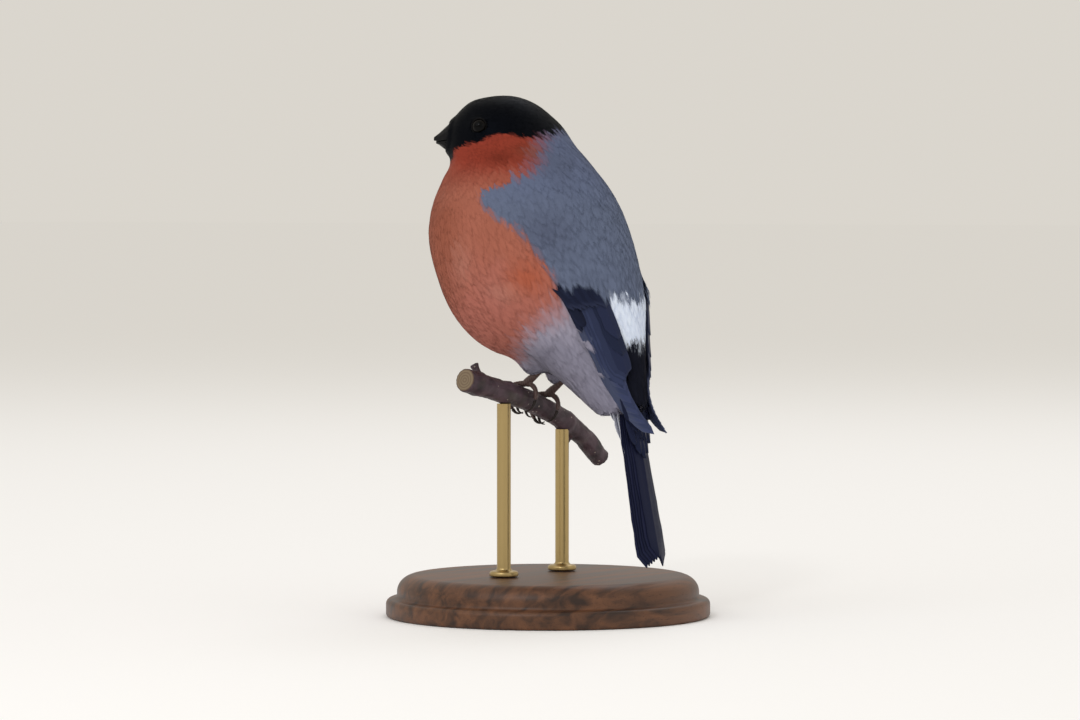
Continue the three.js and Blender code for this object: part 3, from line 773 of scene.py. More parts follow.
def tailCoverts(rows):
    made = []
    for count, spread, start, end, width, lift, tint in rows:
        for across in np.linspace(-1, 1, count) * spread:
            feather = {"root": (start, across * 0.8), "tint": tint, "tilt": 0.0, "camber": 0.12}
            feather["tip"] = (end - 0.005 * across**2 + rng.normal(0, 0.006), across)
            feather["width"] = width * rng.uniform(0.92, 1.08)
            feather["lift"] = lift + rng.normal(0, 0.04, 2)
            made.append(feather | {"shaft": 0.0, "point": 0.5})
    return made


softVanes = flightVanes("Undertail coverts, soft and matt", 0.8)
upperTail = tailFeathers() + tailCoverts(tail["upperCoverts"])
made = [makeVane(tailSheet, np.ones_like, feather) for feather in upperTail]
fit(joinVanes("tail_feathers", made), glossyVanes, "flight_feathers", "tail")
made = [makeVane(underSheet, np.ones_like, feather) for feather in tailCoverts(tail["underCoverts"])]
fit(joinVanes("undertail_coverts", made), softVanes, "grey_plumage")
print("tail")


# The skin: one surface from copies of the flesh nodes, swollen until they meet, made whole and
# then drawn in by the depth of the coat

skin = {
    "nodes": ["torso", "neck", "head", "thigh_left", "thigh_right"],
    "swell": 2.2,
    "voxel": 0.8,
    "wingFrom": 12,  # the heights above the feet from which the wings and the tail are taken in
    "tailFrom": -6,
    "wingFade": 21,  # the height from which the wings are drawn in, and how far at their lowest
    "wingSink": 5.5,
    "creaseReach": 7.0,
    "bodyCoat": 1.3,
    "headCoat": 0.8,
    "faceCoat": 0.35,
    "chinIn": 0.9,
    "collar": 0.75,
    # How far the top of the head is raised to meet the photo's outline, by how far ahead it is
    "headTop": [
        (-21, 0), (-17.4, 0.7), (-15.7, 0.6), (-12.2, 0), (-7, -0.25), (-1.8, -0.35), (1.7, -0.45),
        (5.2, -0.35), (6.9, -0.1), (8.7, 0.35), (10.4, 0.7), (13.9, 0.6), (17, 0.3),
    ],
}


# How far the tips of the coat stand above the skin
def coatDepth(places):
    away = fromBill(places)
    face = skin["faceCoat"] + (skin["headCoat"] - skin["faceCoat"]) * smoothStep(3, 12, away)
    return face + (skin["bodyCoat"] - skin["headCoat"]) * smoothStep(14, 44, away)


# The chin, where the feathers are shortest and lie flattest, just under the bill
def chin(places):
    ahead, up = onHead(places)[1:]
    return smoothStep(-1.5, -4.5, up) * smoothStep(-9, -6, up) * smoothStep(9, 13, ahead)


# Marks the skin along both edges of each wing, where it is smoothed most
def markCreases(obj):
    tree = nearTree(np.vstack([wingEdge(name, np.linspace(0, 1, 80)) for name in ("lower", "upper")]))
    group = obj.vertex_groups.new(name="creases")
    for vertex in obj.data.vertices:
        place = np.array(vertex.co) / mm
        gap = tree.find(toLeft(place))[2]
        if gap < skin["creaseReach"]:
            share = float(smoothStep(skin["creaseReach"], skin["creaseReach"] / 2, gap))
            group.add([vertex.index], share * float(smoothStep(58, 50, place[2] - feet[2])), "REPLACE")


# Draws the lower part of a wing into the body, so that it ends without a step
def sinkWing(part):
    places = placesOf(part)
    inward = bird(0, -20, 0) - places
    inward[:, 2] = 0
    share = smoothStep(skin["wingFade"], skin["wingFrom"], onBird(places)[2])
    setPlaces(part, places + unit(inward) * (skin["wingSink"] * share)[:, None])


# Raises or lowers the top of the head to the photo's outline
def trimHead(obj):
    places = placesOf(obj)
    ahead, up = onHead(places)[1:]
    places[:, 2] += np.interp(ahead, *zip(*skin["headTop"])) * smoothStep(-2, 4, up)
    setPlaces(obj, places)


# Thickens the face round the root of the bill, so that its feathers run onto the horn
def raiseCollar(obj):
    places, normals = placesOf(obj), normalsOf(obj)
    gaps = np.array([billTree.find_nearest(Vector(place))[3] for place in places])
    setPlaces(obj, places + normals * (skin["collar"] * smoothStep(3.2, 0.6, gaps))[:, None])
    soften(obj, 2)


def makeSkin():
    parts = [copyOf(node, "flesh") for node in skin["nodes"] + ["eye_left", "eye_right"]]
    for node, height in (("wing_left", "wingFrom"), ("wing_right", "wingFrom"), ("tail", "tailFrom")):
        parts.append(copyOf(node, "flesh"))
        if node != "tail":
            sinkWing(parts[-1])
        keepAbove(parts[-1], feet[2] + skin[height])
    for part in parts:
        swell(part, skin["swell"])
    pick(*parts)
    bpy.ops.object.join()
    obj = parts[0]
    obj.name = "skin"
    remesh(obj, skin["voxel"])
    keepLargest(obj)
    soften(obj, 10)
    markCreases(obj)
    soften(obj, 90, vertex_group="creases")
    places = placesOf(obj)
    depth = skin["swell"] + coatDepth(places) + skin["chinIn"] * chin(places)
    setPlaces(obj, places - normalsOf(obj) * depth[:, None])
    soften(obj, 4)
    soften(obj, 40, vertex_group="creases")
    trimHead(obj)
    raiseCollar(obj)
    shadeSmooth(obj)
    return obj


billTree = treeOf(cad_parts["bill_upper"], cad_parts["bill_lower"])
skinObject = makeSkin()
print("skin", len(skinObject.data.vertices))
with editing(skinObject):
    bpy.ops.uv.smart_project(island_margin=0.002)
skinObject.data.uv_layers[0].name = "OFBake"
skinTree = treeOf(skinObject)
print("skin unwrapped")

bodyFeathers = contourFeathers("Contour feathers, matt barbs", 0.9, 0.03, 0.05, "#ffffff")
capFeathers = contourFeathers("Cap feathers, short with a blue gloss", 0.45, 0.0, 0.04, "#8fa6d8")
paint(skinObject, plumageTints(placesOf(skinObject)))
fit(skinObject, bodyFeathers, "red_plumage", *skin["nodes"])


# The coat: small feathers planted over the skin, each bent along it

coat = {
    "spacing": 0.88,
    "length": 8.2,
    "width": 2.7,
    "candidates": 230000,
    "steps": 6,
    "reach": 1.15,  # the share of its length to which a feather's line is followed
    "pieceSize": 3900,  # the most feathers in one piece
    "eyeBare": 2.1,  # how far from the axis of an eye the first roots are
    "eyeFlat": 2.3,  # up to where feathers beside an eye lie close to the skin
    "wingEdge": 38.5,  # the height down to which the coat is rooted over the wing
    "overWing": (31, 62),  # between these heights, the coat lies over the wing
    "plumes": 0.6,  # the share of the flank's feathers that lie over the wing's edge
    "plumeHeights": (11, 30),
    "tuck": 1.7,  # how far under the wing's outer side the other feathers stay
    "wingReach": 7,  # how far above the skin a wing is looked for
}


# How large the feathers are at a place, as a share of those of the back
def featherSize(places):
    size = np.interp(fromBill(places), [2, 7, 16, 28, 46], [0.22, 0.3, 0.42, 0.66, 1.0])
    forward, up = onBird(places)[1:]
    return size * (1 - 0.35 * smoothStep(8, 0, up) * (forward > -20))


# The way that feathers lie: away from the bill on the head, then towards the tail
def layDirection(places):
    near = smoothStep(42, 12, fromBill(places))[:, None]
    return unit(places - billBase) * near + unit(bird(0, -36, -14) - places) * (1 - near)


# Evenly scattered roots, closer together where the feathers are smaller
def scatterRoots(obj):
    mesh = obj.data
    mesh.calc_loop_triangles()
    corners = readAll(mesh.loop_triangles, "vertices", 3, np.int32)
    owners = readAll(mesh.loop_triangles, "polygon_index", kind=np.int32)
    a, b, c = placesOf(obj)[corners].transpose(1, 0, 2)
    area = np.linalg.norm(np.cross(b - a, c - a), axis=1) / 2
    weight = area / featherSize((a + b + c) / 3) ** 2
    chosen = rng.choice(len(area), coat["candidates"], p=weight / weight.sum())
    u, v = rng.random((2, coat["candidates"], 1))
    over = u + v > 1
    u, v = np.where(over, 1 - u, u), np.where(over, 1 - v, v)
    places = a[chosen] + u * (b - a)[chosen] + v * (c - a)[chosen]
    distance = coat["spacing"] * featherSize(places)
    tree = nearTree(places)
    free = np.ones(len(places), bool)
    kept = []
    for i in range(len(places)):
        if free[i]:
            kept.append(i)
            for found in tree.find_range(places[i], distance[i]):
                free[found[1]] = False
    return places[kept], owners[chosen[kept]]


# Where the middle of each patch of the coat's map lies, from the skin's own unwrap
def mapRoots(mesh, polygons):
    uv = readAll(mesh.uv_layers["OFBake"].data, "uv", 2)
    starts = readAll(mesh.polygons, "loop_start", kind=np.int32)[polygons]
    return (uv[starts] + uv[starts + 2]) / 2


wingTree = treeOf(*wingObjects)
sheetTree = nearTree(wingPlaces.reshape(-1, 3))
eyes = {name: sum(np.array(corner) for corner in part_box(f"eye_{name}")) / 2 / mm for name in sideOf}
eyeRadius = (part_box("eye_left")[1].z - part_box("eye_left")[0].z) / 2 / mm
eyeWay = {}
for name, side in sideOf.items():
    eyeWay[name] = np.array(skinTree.find_nearest(Vector(eyes[name] + headLeft * side * 3))[1])


# Whether a place lies over a folded wing, away from the wing's lower edge
def overWing(place):
    index, gap = sheetTree.find(toLeft(place))[1:]
    across = (index % wing["columns"]) / (wing["columns"] - 1)
    return gap < 4 and 0.12 < across < 0.99


# How far places are from the axis of an eye
def besideEye(places, name):
    offset, way = places - eyes[name], eyeWay[name]
    return np.linalg.norm(offset - (offset @ way)[..., None] * way, axis=-1) + 9 * (offset @ way < 0)


# Whether no feather has its root at a place: at the bill, under the tail, or covered by a wing and
# lower than the coat's edge over it
def isBare(place, normal, edge):
    hit, face, gap = (billTree.find_nearest(place)[i] for i in (0, 1, 3))
    up = place.z - feet[2]
    if gap < 0.25 or (gap < 2 and (place - hit).dot(face) < 0) or up < -5:
        return True
    under = wingTree.ray_cast(place + normal * 0.2, normal, 6)[0] is not None or overWing(place)
    return under and up < edge


# Follows each feather's line over the skin, and leaves out those that can't grow
def followSkin(roots, length):
    steps = coat["steps"]
    line = np.zeros((len(roots), steps, 3))
    normals = np.zeros((len(roots), steps, 3))
    keep = np.ones(len(roots), bool)
    ways = layDirection(roots) + rng.normal(0, 0.07, roots.shape)
    ragged = coat["wingEdge"] + 2.2 * patches(roots, 3.0, 0.9)
    for n in range(len(roots)):
        place, way = Vector(roots[n]), Vector(ways[n])
        stride = length[n] * coat["reach"] / (steps - 1)
        for k in range(steps):
            found, normal = skinTree.find_nearest(place)[:2]
            line[n, k], normals[n, k] = found, normal
            if k > 0:
                way = way * 0.5 + Vector(layDirection(line[n, k : k + 1])[0]) * 0.5
            elif isBare(found, normal, ragged[n]):
                keep[n] = False
                break
            tangent = way - normal * way.dot(normal)
            tangent.normalize()
            place = found + tangent * stride
    return line[keep], normals[keep], keep


# Lays the coat over the upper part of each wing and some loose plumes over its lower edge, and
# keeps the other feathers beside the wing under its outer side
def liftOverWing(line, normals, lift):
    up, forward = line[:, 0, 2] - feet[2], feet[1] - line[:, 0, 1]
    (low, high), (plumeLow, plumeHigh), reach = coat["overWing"], coat["plumeHeights"], coat["wingReach"]
    rump = (up < 34) & (forward < -22) & (np.abs(line[:, 0, 0]) < 12)
    covering = ~rump & (up < high) & (up > low)
    loose = (rng.random(len(lift)) < coat["plumes"]) & (up > plumeLow) & (up < plumeHigh)
    for n in np.nonzero(covering | (up <= low))[0]:
        plume = loose[n] and sheetTree.find(toLeft(line[n, 0]))[1] % wing["columns"] < 2
        clear, rise, start = (0.12, 0.08, 0.6) if covering[n] else (0.1, 0.06, 0.7)
        for k in range(2 if covering[n] or plume else 1, coat["steps"]):
            place, normal = Vector(line[n, k]), Vector(normals[n, k])
            gap = wingTree.ray_cast(place + normal * reach, -normal, reach)[3]
            if gap is None:
                continue
            if covering[n] or plume:
                lift[n, k] = max(lift[n, k], (reach - gap + clear + rise * k) * (start if k == 2 else 1))
            else:
                lift[n, k] = min(lift[n, k], max(reach - gap - coat["tuck"], 0.05))
    return lift


# One feather of the coat: a soft leaf with loose barbs along its outer part. Each corner is a
# share of the length and a share of half the width.
leaf = [(0, 0.26), (0.25, 0.56), (0.5, 0.62), (0.7, 0.52), (0.85, 0.34)]
barbs = 15  # on each side


def featherPattern():
    corners, faces = [], []
    for share, breadth in leaf:
        corners += [(share, -breadth), (share + 0.04, 0), (share, breadth)]
    corners.append((0.97, 0))
    for r in range(len(leaf) - 1):
        for a in (3 * r, 3 * r + 1):
            faces += [(a, a + 4, a + 1), (a, a + 3, a + 4)]
    last = 3 * (len(leaf) - 1)
    faces += [(last, last + 3, last + 1), (last + 1, last + 3, last + 2)]
    shares, breadths = zip(*leaf)
    for edge in (-1, 1):
        for share in 0.2 + 0.74 * np.arange(barbs) / (barbs - 1):
            breadth = np.interp(share, shares + (1.0,), breadths + (0.03,))
            out = (breadth + 0.62 * (1 - 0.72 * share)) * (1.1 - 0.6 * share**2)
            start = len(corners)
            corners.append((share - 0.035, edge * (breadth - 0.14)))
            corners.append((share + 0.03, edge * max(breadth - 0.2, 0)))
            corners.append((min(share + 0.22, 1.14 - 0.12 * (1 - share)), edge * out))
            faces.append((start, start + 1, start + 2) if edge > 0 else (start, start + 2, start + 1))
    return np.array(corners, float), np.array(faces)


# Rows of values along lines, between their steps k and k + 1
def alongLine(values, k, t):
    return values[:, k] * (1 - t) + values[:, k + 1] * t


def growCoat(roots, polygons):
    size = featherSize(roots) * rng.uniform(0.88, 1.14, len(roots))
    clear = np.minimum(besideEye(roots, "left"), besideEye(roots, "right")) > coat["eyeBare"]
    roots, polygons, size = roots[clear], polygons[clear], size[clear]
    line, normals, keep = followSkin(roots, coat["length"] * size)
    roots, polygons, size = roots[keep], polygons[keep], size[keep]
    depth = coatDepth(roots) * rng.uniform(0.95, 1.05, len(roots))
    lift = depth[:, None] * (0.85 + 0.15 * np.linspace(0, 1, coat["steps"]))
    for name in eyes:
        lift = np.where(besideEye(line, name) < coat["eyeFlat"], 0.25 * lift, lift)
    line = line + normals * liftOverWing(line, normals, lift)[:, :, None]
    sides = unit(np.cross(normals, np.gradient(line, axis=1)))
    pattern, faces = featherPattern()
    at = np.clip(pattern[:, 0] / coat["reach"], 0, 1) * (coat["steps"] - 1)
    k = np.minimum(at.astype(int), coat["steps"] - 2)
    t = (at - k)[None, :, None]
    half = (coat["width"] * size / 2)[:, None] * pattern[:, 1]
    drop = 0.04 * np.abs(half) * np.abs(pattern[:, 1])
    onBarbs = np.arange(len(pattern)) > 3 * len(leaf)
    loose = rng.normal(0, 0.02, half.shape) * onBarbs * size[:, None]
    facing = unit(alongLine(normals, k, t))
    points = alongLine(line, k, t) + alongLine(sides, k, t) * half[:, :, None]
    points = points + facing * (loose - drop)[:, :, None]
    tints = plumageTints(roots + 0.75 * (line[:, -1] - roots))
    shade = rng.normal(1, 0.022, (len(roots), 1, 1)) * (0.97 + 0.04 * pattern[None, :, :1])
    uv = mapRoots(skinObject.data, polygons)[:, None, :] + pattern[:, ::-1] * 0.0012
    grown = {"points": points, "faces": faces, "colours": np.clip(tints[:, None, :] * shade, 0, 1)}
    return grown | {"uv": uv, "roots": roots, "facing": facing}


def coatPiece(name, grown, chosen, material, slot):
    parts = [grown[part][chosen] for part in ("points", "colours", "uv", "facing")]
    points, colours, uv, facing = (rows.reshape(-1, rows.shape[-1]) for rows in parts)
    obj = meshFrom(name, points, repeatFaces(grown["faces"], grown["points"].shape[1], len(chosen)))
    paint(obj, colours)
    mapPlaces(obj, "OFBake", uv)
    soft = unit(normalsOf(obj) * 0.06 + facing * 0.94)
    obj.data.normals_split_custom_set_from_vertices(soft.tolist())
    return fit(obj, material, slot)


roots, polygons = scatterRoots(skinObject)
print("roots", len(roots))
grown = growCoat(roots, polygons)
print("coat grown", len(grown["roots"]))
black = capShare(grown["roots"]) > 0.5
tones = plumageTints(grown["roots"])
reddish = (tones[:, 0] > tones[:, 2] * 1.25) & ~black
onLeft = grown["roots"][:, 0] > 0
for name, zone, material, slot in (
    ("cap", black, capFeathers, "black_plumage"),
    ("breast", reddish, bodyFeathers, "red_plumage"),
    ("mantle", ~reddish & ~black, bodyFeathers, "grey_plumage"),
):
    for half, side in ((onLeft, "left"), (~onLeft, "right")):
        chosen = np.nonzero(zone & half)[0]
        chosen = chosen[np.argsort(-grown["roots"][chosen, 2])]
        for i, part in enumerate(np.array_split(chosen, math.ceil(len(chosen) / coat["pieceSize"]))):
            piece = coatPiece(f"coat_{name}_{side}_{i + 1}", grown, part, material, slot)
            print(piece.name, len(piece.data.polygons))


# Horn, black: the bill's smooth hard sheath. Its gloss is broken by faint growth lines along it.
def blackHorn(name, base, worn, roughness):
    material, add = newMaterial(name)
    solid = add("TexCoord").outputs["Object"]
    uneven = add("TexNoise", {"Vector": solid, "Scale": 700.0, "Detail": 3.0})
    mix = add("Mix", {0: uneven, 6: base, 7: worn}, data_type="RGBA")
    fine = add("TexNoise", {"Vector": solid, "Scale": 3000.0, "Detail": 2.0})
    bump = add("Bump", {"Height": fine, "Strength": 0.15, "Distance": 0.04 * mm})
    low, high = roughness - 0.08, roughness + 0.14
    rough = add("MapRange", {"Value": uneven, "To Min": low, "To Max": high})
    return finishMaterial(material, mix.outputs[2], rough, 1.54, 0.12, bump)


# The bill: the CAD's two halves made fine and smooth, with their roots drawn back under the
# feathers of the face
bill = {"voxel": 0.13, "swell": 0.1, "rootReach": 3.5, "seamFill": 0.5}


def makeBill(half, material):
    obj = copyOf(half, half + "_horn")
    remesh(obj, bill["voxel"])
    swell(obj, bill["swell"])
    soften(obj, 6)
    places, normals = placesOf(obj), normalsOf(obj)
    side, ahead, up = onHead(places)
    back = bill["rootReach"] * smoothStep(-0.6, -0.85, normals @ headAhead) * smoothStep(17.5, 17, ahead)
    if half == "bill_lower":
        # The middle of the lower half's top rises into the upper half, so that no light shows between
        breadth = np.interp(ahead, [11, 15, 18, 20.5], [4.4, 3.9, 2.5, 0.6])
        inside = smoothStep(0.85, 0.6, np.abs(side) / breadth) * smoothStep(0.4, 0.8, normals[:, 2])
        places[:, 2] += bill["seamFill"] * inside
    setPlaces(obj, places - headAhead * back[:, None])
    shadeSmooth(obj)
    return fit(obj, material, "bill", half)


horn = blackHorn("Bill horn, black and smooth", "#08080a", "#131315", 0.42)
for half in ("bill_upper", "bill_lower"):
    makeBill(half, horn)


# Eye: a wet, clear cornea over a nearly black iris, so it is dark with one hard highlight
def wetEye():
    material, add = newMaterial("Cornea, wet over a dark iris")
    tint = add("Attribute", attribute_name="tint")
    return finishMaterial(material, tint, 0.05, 1.38, 0.14)


# Bare black skin round the eye, dull and finely beaded
def lidSkin():
    material, add = newMaterial("Bare lid skin, black")
    solid = add("TexCoord").outputs["Object"]
    beads = add("TexVoronoi", {"Vector": solid, "Scale": 4000.0})
    bump = add("Bump", {"Height": beads, "Strength": 0.4, "Distance": 0.06 * mm})
    return finishMaterial(material, "#070708", 0.7, 1.45, 0.1, bump)


eye = {
    "pupil": 30,  # half the angles that the pupil and the iris take up
    "iris": 58,
    "pupilTint": "#020203",
    "irisTint": "#060403",
    "cornea": 0.16,  # how far it bulges
    "lidDepth": 1.3,  # how far the lid stands out from the middle of the eye
    "lidRadius": 0.24,
    "beads": 28,
}


def makeEye(name, cornea, bareSkin):
    way = eyeWay[name]
    sphere = {"segments": 48, "ring_count": 32, "radius": eyeRadius * mm}
    ball = begin(f"eyeball_{name}", bpy.ops.mesh.primitive_uv_sphere_add, **sphere)
    places = placesOf(ball)
    angle = np.degrees(np.arccos(np.clip(places[:, 2] / eyeRadius, -1, 1)))
    places *= (1 + eye["cornea"] / eyeRadius * smoothStep(eye["iris"], 10, angle))[:, None]
    setPlaces(ball, places)
    inIris = (angle > eye["pupil"]) & (angle < eye["iris"])
    paint(ball, blendTo(plain(eye["pupilTint"], len(places)), eye["irisTint"], inIris * 1.0))
    faceTo(ball, way, eyes[name])
    shadeSmooth(ball)
    fit(ball, cornea, "eye", f"eye_{name}")
    rim = math.sqrt(eyeRadius**2 - eye["lidDepth"] ** 2) + eye["lidRadius"] / 2
    ring = {"major_radius": rim * mm, "minor_radius": eye["lidRadius"] * mm}
    ring |= {"major_segments": 2 * eye["beads"], "minor_segments": 12}
    lid = begin(f"eyelid_{name}", bpy.ops.mesh.primitive_torus_add, **ring)
    places = placesOf(lid)
    around = np.arctan2(places[:, 1], places[:, 0])
    places[:, 2] += 0.05 * np.sin(eye["beads"] * around)
    places[:, :2] *= (1 - 0.05 * np.cos(2 * around))[:, None]
    setPlaces(lid, places)
    faceTo(lid, way, eyes[name] + way * eye["lidDepth"])
    shadeSmooth(lid)
    fit(lid, bareSkin, "black_plumage")


cornea, bareSkin = wetEye(), lidSkin()
for name in sideOf:
    makeEye(name, cornea, bareSkin)
print("bill and eyes")


# The perch's middle line, from the bird's left down to its right
perch = {
    "route": [
        (34, 0.6, 4.9), (21, 0.2, 1.9), (8.4, 0, -0.9), (-2, 0, -4), (-13.3, 0, -8.4), (-24, 0.3, -14),
        (-33, 0.8, -20.4),
    ],
    "voxel": 0.42,
    "cutDepth": 0.8,  # how far from each end a face can be part of the cut
}
perchLine = curveAt([bird(*place) for place in perch["route"]], np.linspace(0, 1, 240))
perchWay = unit(np.gradient(perchLine, axis=0))
perchRun = np.concatenate([[0], np.cumsum(np.linalg.norm(np.diff(perchLine, axis=0), axis=1))])


# For each place: how far along the perch, how far from its middle, and its turn round it
def roundPerch(places, batch=4000):
    nearest = np.empty(len(places), int)
    for start in range(0, len(places), batch):
        part = places[start : start + batch]
        nearest[start : start + batch] = ((part[:, None] - perchLine) ** 2).sum(-1).argmin(1)
    ways = perchWay[nearest]
    away = places - perchLine[nearest]
    along = (away * ways).sum(-1)
    away = away - along[:, None] * ways
    front = np.tile(heading(0), (len(places), 1))
    up = unit(np.cross(front, ways))
    up *= np.sign(up[:, 2:3])
    turn = np.arctan2((away * front).sum(-1), (away * up).sum(-1))
    return perchRun[nearest] + along, np.linalg.norm(away, axis=1), turn


# Bark: thin and smooth with a dull shine, purple brown, green in places where algae grow, with
# pale lenticels about 0.5 mm wide every few millimetres, and fine cracks along the branch
def thinBark():
    material, add = newMaterial("Smooth bark with lenticels")
    place = add("UVMap", uv_map="bark")
    solid = add("TexCoord").outputs["Object"]
    blotch = add("TexNoise", {"Vector": solid, "Scale": 240.0, "Detail": 5.0})
    tone = add("ValToRGB", {"Fac": blotch}, stops=((0.32, "#2b2026"), (0.62, "#54424a")))
    green = add("TexNoise", {"Vector": solid, "Scale": 90.0, "Detail": 3.0})
    algae = add("MapRange", {"Value": green, "From Min": 0.56, "From Max": 0.72, "To Max": 0.5})
    mossy = add("Mix", {0: algae, 6: tone, 7: "#4b4d39"}, data_type="RGBA")
    spots = add("TexVoronoi", {"Vector": solid, "Scale": 400.0})
    spot = add("MapRange", {"Value": spots, "From Min": 0.13, "From Max": 0.07})
    dotted = add("Mix", {0: spot, 6: mossy.outputs[2], 7: "#a3978c"}, data_type="RGBA")
    stretch = add("Mapping", {"Vector": place, "Scale": (0.5, 3.0, 1.0)})
    cracks = add("TexNoise", {"Vector": stretch, "Scale": 0.8, "Detail": 6.0})
    height = add("Math", {0: spot, 1: 0.6, 2: cracks}, operation="MULTIPLY_ADD")
    bump = add("Bump", {"Height": height, "Strength": 0.7, "Distance": 0.25 * mm})
    rough = add("MapRange", {"Value": cracks, "To Min": 0.42, "To Max": 0.75})
    return finishMaterial(material, dotted.outputs[2], rough, gloss=0.35, bump=bump)


# Cut wood: sawn across, so pale and dull with yearly rings about 0.8 mm apart, and a rim of bark
def cutWood(ringGap=0.8):
    material, add = newMaterial("Cut wood, sawn end")
    place = add("UVMap", uv_map="rings")
    parts = add("SeparateXYZ", {0: place})
    turns = add("Math", {0: parts, 1: 2 * math.pi / ringGap}, operation="MULTIPLY")
    wave = add("Math", {0: turns}, operation="SINE")
    ring = add("MapRange", {"Value": wave, "From Min": -1.0})
    wood = add("Mix", {0: ring, 6: "#6c5a46", 7: "#80705a"}, data_type="RGBA")
    edge = add("MapRange", {"Value": parts, "From Min": 2.95, "From Max": 3.15})
    barked = add("Mix", {0: edge, 6: wood.outputs[2], 7: "#4a3530"}, data_type="RGBA")
    bump = add("Bump", {"Height": wave, "Strength": 0.3, "Distance": 0.05 * mm})
    return finishMaterial(material, barked.outputs[2], 0.85, bump=bump)


def makePerch():
    obj = copyOf("perch", "perch_branch")
    remesh(obj, perch["voxel"])
    soften(obj, 4)
    places = placesOf(obj)
    along, away, turn = roundPerch(places)
    ends = smoothStep(0, 1.5, along) * smoothStep(0, 1.5, perchRun[-1] - along)
    lumps = 0.16 * patches(places, 2.6, 0.3) + 0.07 * patches(places, 0.9, 1.9) - 0.12
    places += normalsOf(obj) * (lumps * ends)[:, None]
    setPlaces(obj, places)
    mapPlaces(obj, "bark", np.column_stack([along, np.sin(turn) * 3.4 + 0.6 * turn]))
    mapPlaces(obj, "rings", np.column_stack([away + 0.1 * patches(places, 1.4, 0.8), turn]))
    shadeSmooth(obj)
    fit(obj, thinBark(), "bark", "perch")
    obj.data.materials.append(cutWood())
    run = roundPerch(readAll(obj.data.polygons, "center", 3).astype(float) / mm)[0]
    faceWays = readAll(obj.data.polygons, "normal", 3)
    firstCut = (run < perch["cutDepth"]) & (faceWays @ perchWay[0] < -0.8)
    lastCut = (run > perchRun[-1] - perch["cutDepth"]) & (faceWays @ perchWay[-1] > 0.8)
    obj.data.polygons.foreach_set("material_index", (firstCut | lastCut).astype(np.int32))


makePerch()
print("perch")


# Legs: the CAD's shanks and toes made fine, with scutes across them

leg = {
    "voxel": 0.17,
    "scute": 0.95,
    "toeScute": 0.7,
    "height": 0.07,
    "tint": "#5a4440",
    "groove": "#2b1f1d",
    "shankPitch": 142,
    "shankLength": 17.5,
    "foot": {"left": (5.3, -0.35, 3.25), "right": (-5.5, -0.35, -0.2)},
    "radii": (1.25, 0.98, 1.3),  # of the shank at the foot, in the middle and at the ankle
}


# Scaled skin: overlapping horny scutes, dark brown, darker in the grooves, with a low shine
def scaledSkin():
    material, add = newMaterial("Scutes, dark brown horn")
    tint = add("Attribute", attribute_name="tint")
    solid = add("TexCoord").outputs["Object"]
    fine = add("TexNoise", {"Vector": solid, "Scale": 2500.0, "Detail": 3.0})
    bump = add("Bump", {"Height": fine, "Strength": 0.25, "Distance": 0.05 * mm})
    return finishMaterial(material, tint, 0.48, bump=bump)


# The whole shank, up to the ankle inside the feathers of the belly
def makeShank(name):
    low, middle, high = leg["radii"]
    profile = [(low, 0), (middle, 3), (middle, 13), (high, 16.6), (0.4, leg["shankLength"])]
    obj = turned(f"shank_{name}", profile, 16)
    faceTo(obj, heading(leg["shankPitch"]), bird(*leg["foot"][name]))
    return obj


def makeLeg(name, material):
    obj = copyOf(f"leg_{name}", f"shank_and_toes_{name}")
    shank = makeShank(name)
    pick(obj, shank)
    bpy.ops.object.join()
    remesh(obj, leg["voxel"])
    soften(obj, 4)
    places = placesOf(obj)
    away, turn = roundPerch(places)[1:]
    onShank = smoothStep(6.2, 7.2, away)
    toeWave = ((turn * away) / leg["toeScute"]) % 1
    shankWave = (places @ heading(leg["shankPitch"]) / leg["scute"]) % 1
    wave = toeWave * (1 - onShank) + shankWave * onShank
    step = np.sqrt(np.clip(4 * wave * (1 - wave), 0, 1))
    places += normalsOf(obj) * (leg["height"] * (step - 0.6))[:, None]
    setPlaces(obj, places)
    paint(obj, blendTo(plain(leg["groove"], len(places)), leg["tint"], step * 0.9))
    shadeSmooth(obj)
    fit(obj, material, "leg", f"leg_{name}")


def makeClaws(name, material):
    for toe in ("inner", "middle", "outer", "hind"):
        node = f"claw_{name}_{toe}"
        obj = copyOf(node, f"{node}_horn")
        modify(obj, "SUBSURF", levels=2, render_levels=2)
        shadeSmooth(obj)
        fit(obj, material, "claw", node)


scutes = scaledSkin()
clawHorn = blackHorn("Claw horn, dark", "#1d1a1a", "#3a3230", 0.36)
for name in sideOf:
    makeLeg(name, scutes)
    makeClaws(name, clawHorn)
print("legs")


# The stand: a turned wooden base and two brass rods

stand = {"sides": 128, "rodSides": 40, "collarRadius": 4.2, "collarHeight": 1.8, "rodRadius": 2.0}


# A quarter round between two places of a profile, bulging out or hollow
def arcProfile(start, end, steps, hollow=False):
    places = []
    for i in range(1, steps + 1):
        turn = math.radians(90 * i / steps)
        a, b = (1 - math.cos(turn), math.sin(turn)) if hollow else (math.sin(turn), 1 - math.cos(turn))
        places.append((start[0] + (end[0] - start[0]) * b, start[1] + (end[1] - start[1]) * a))
    return places


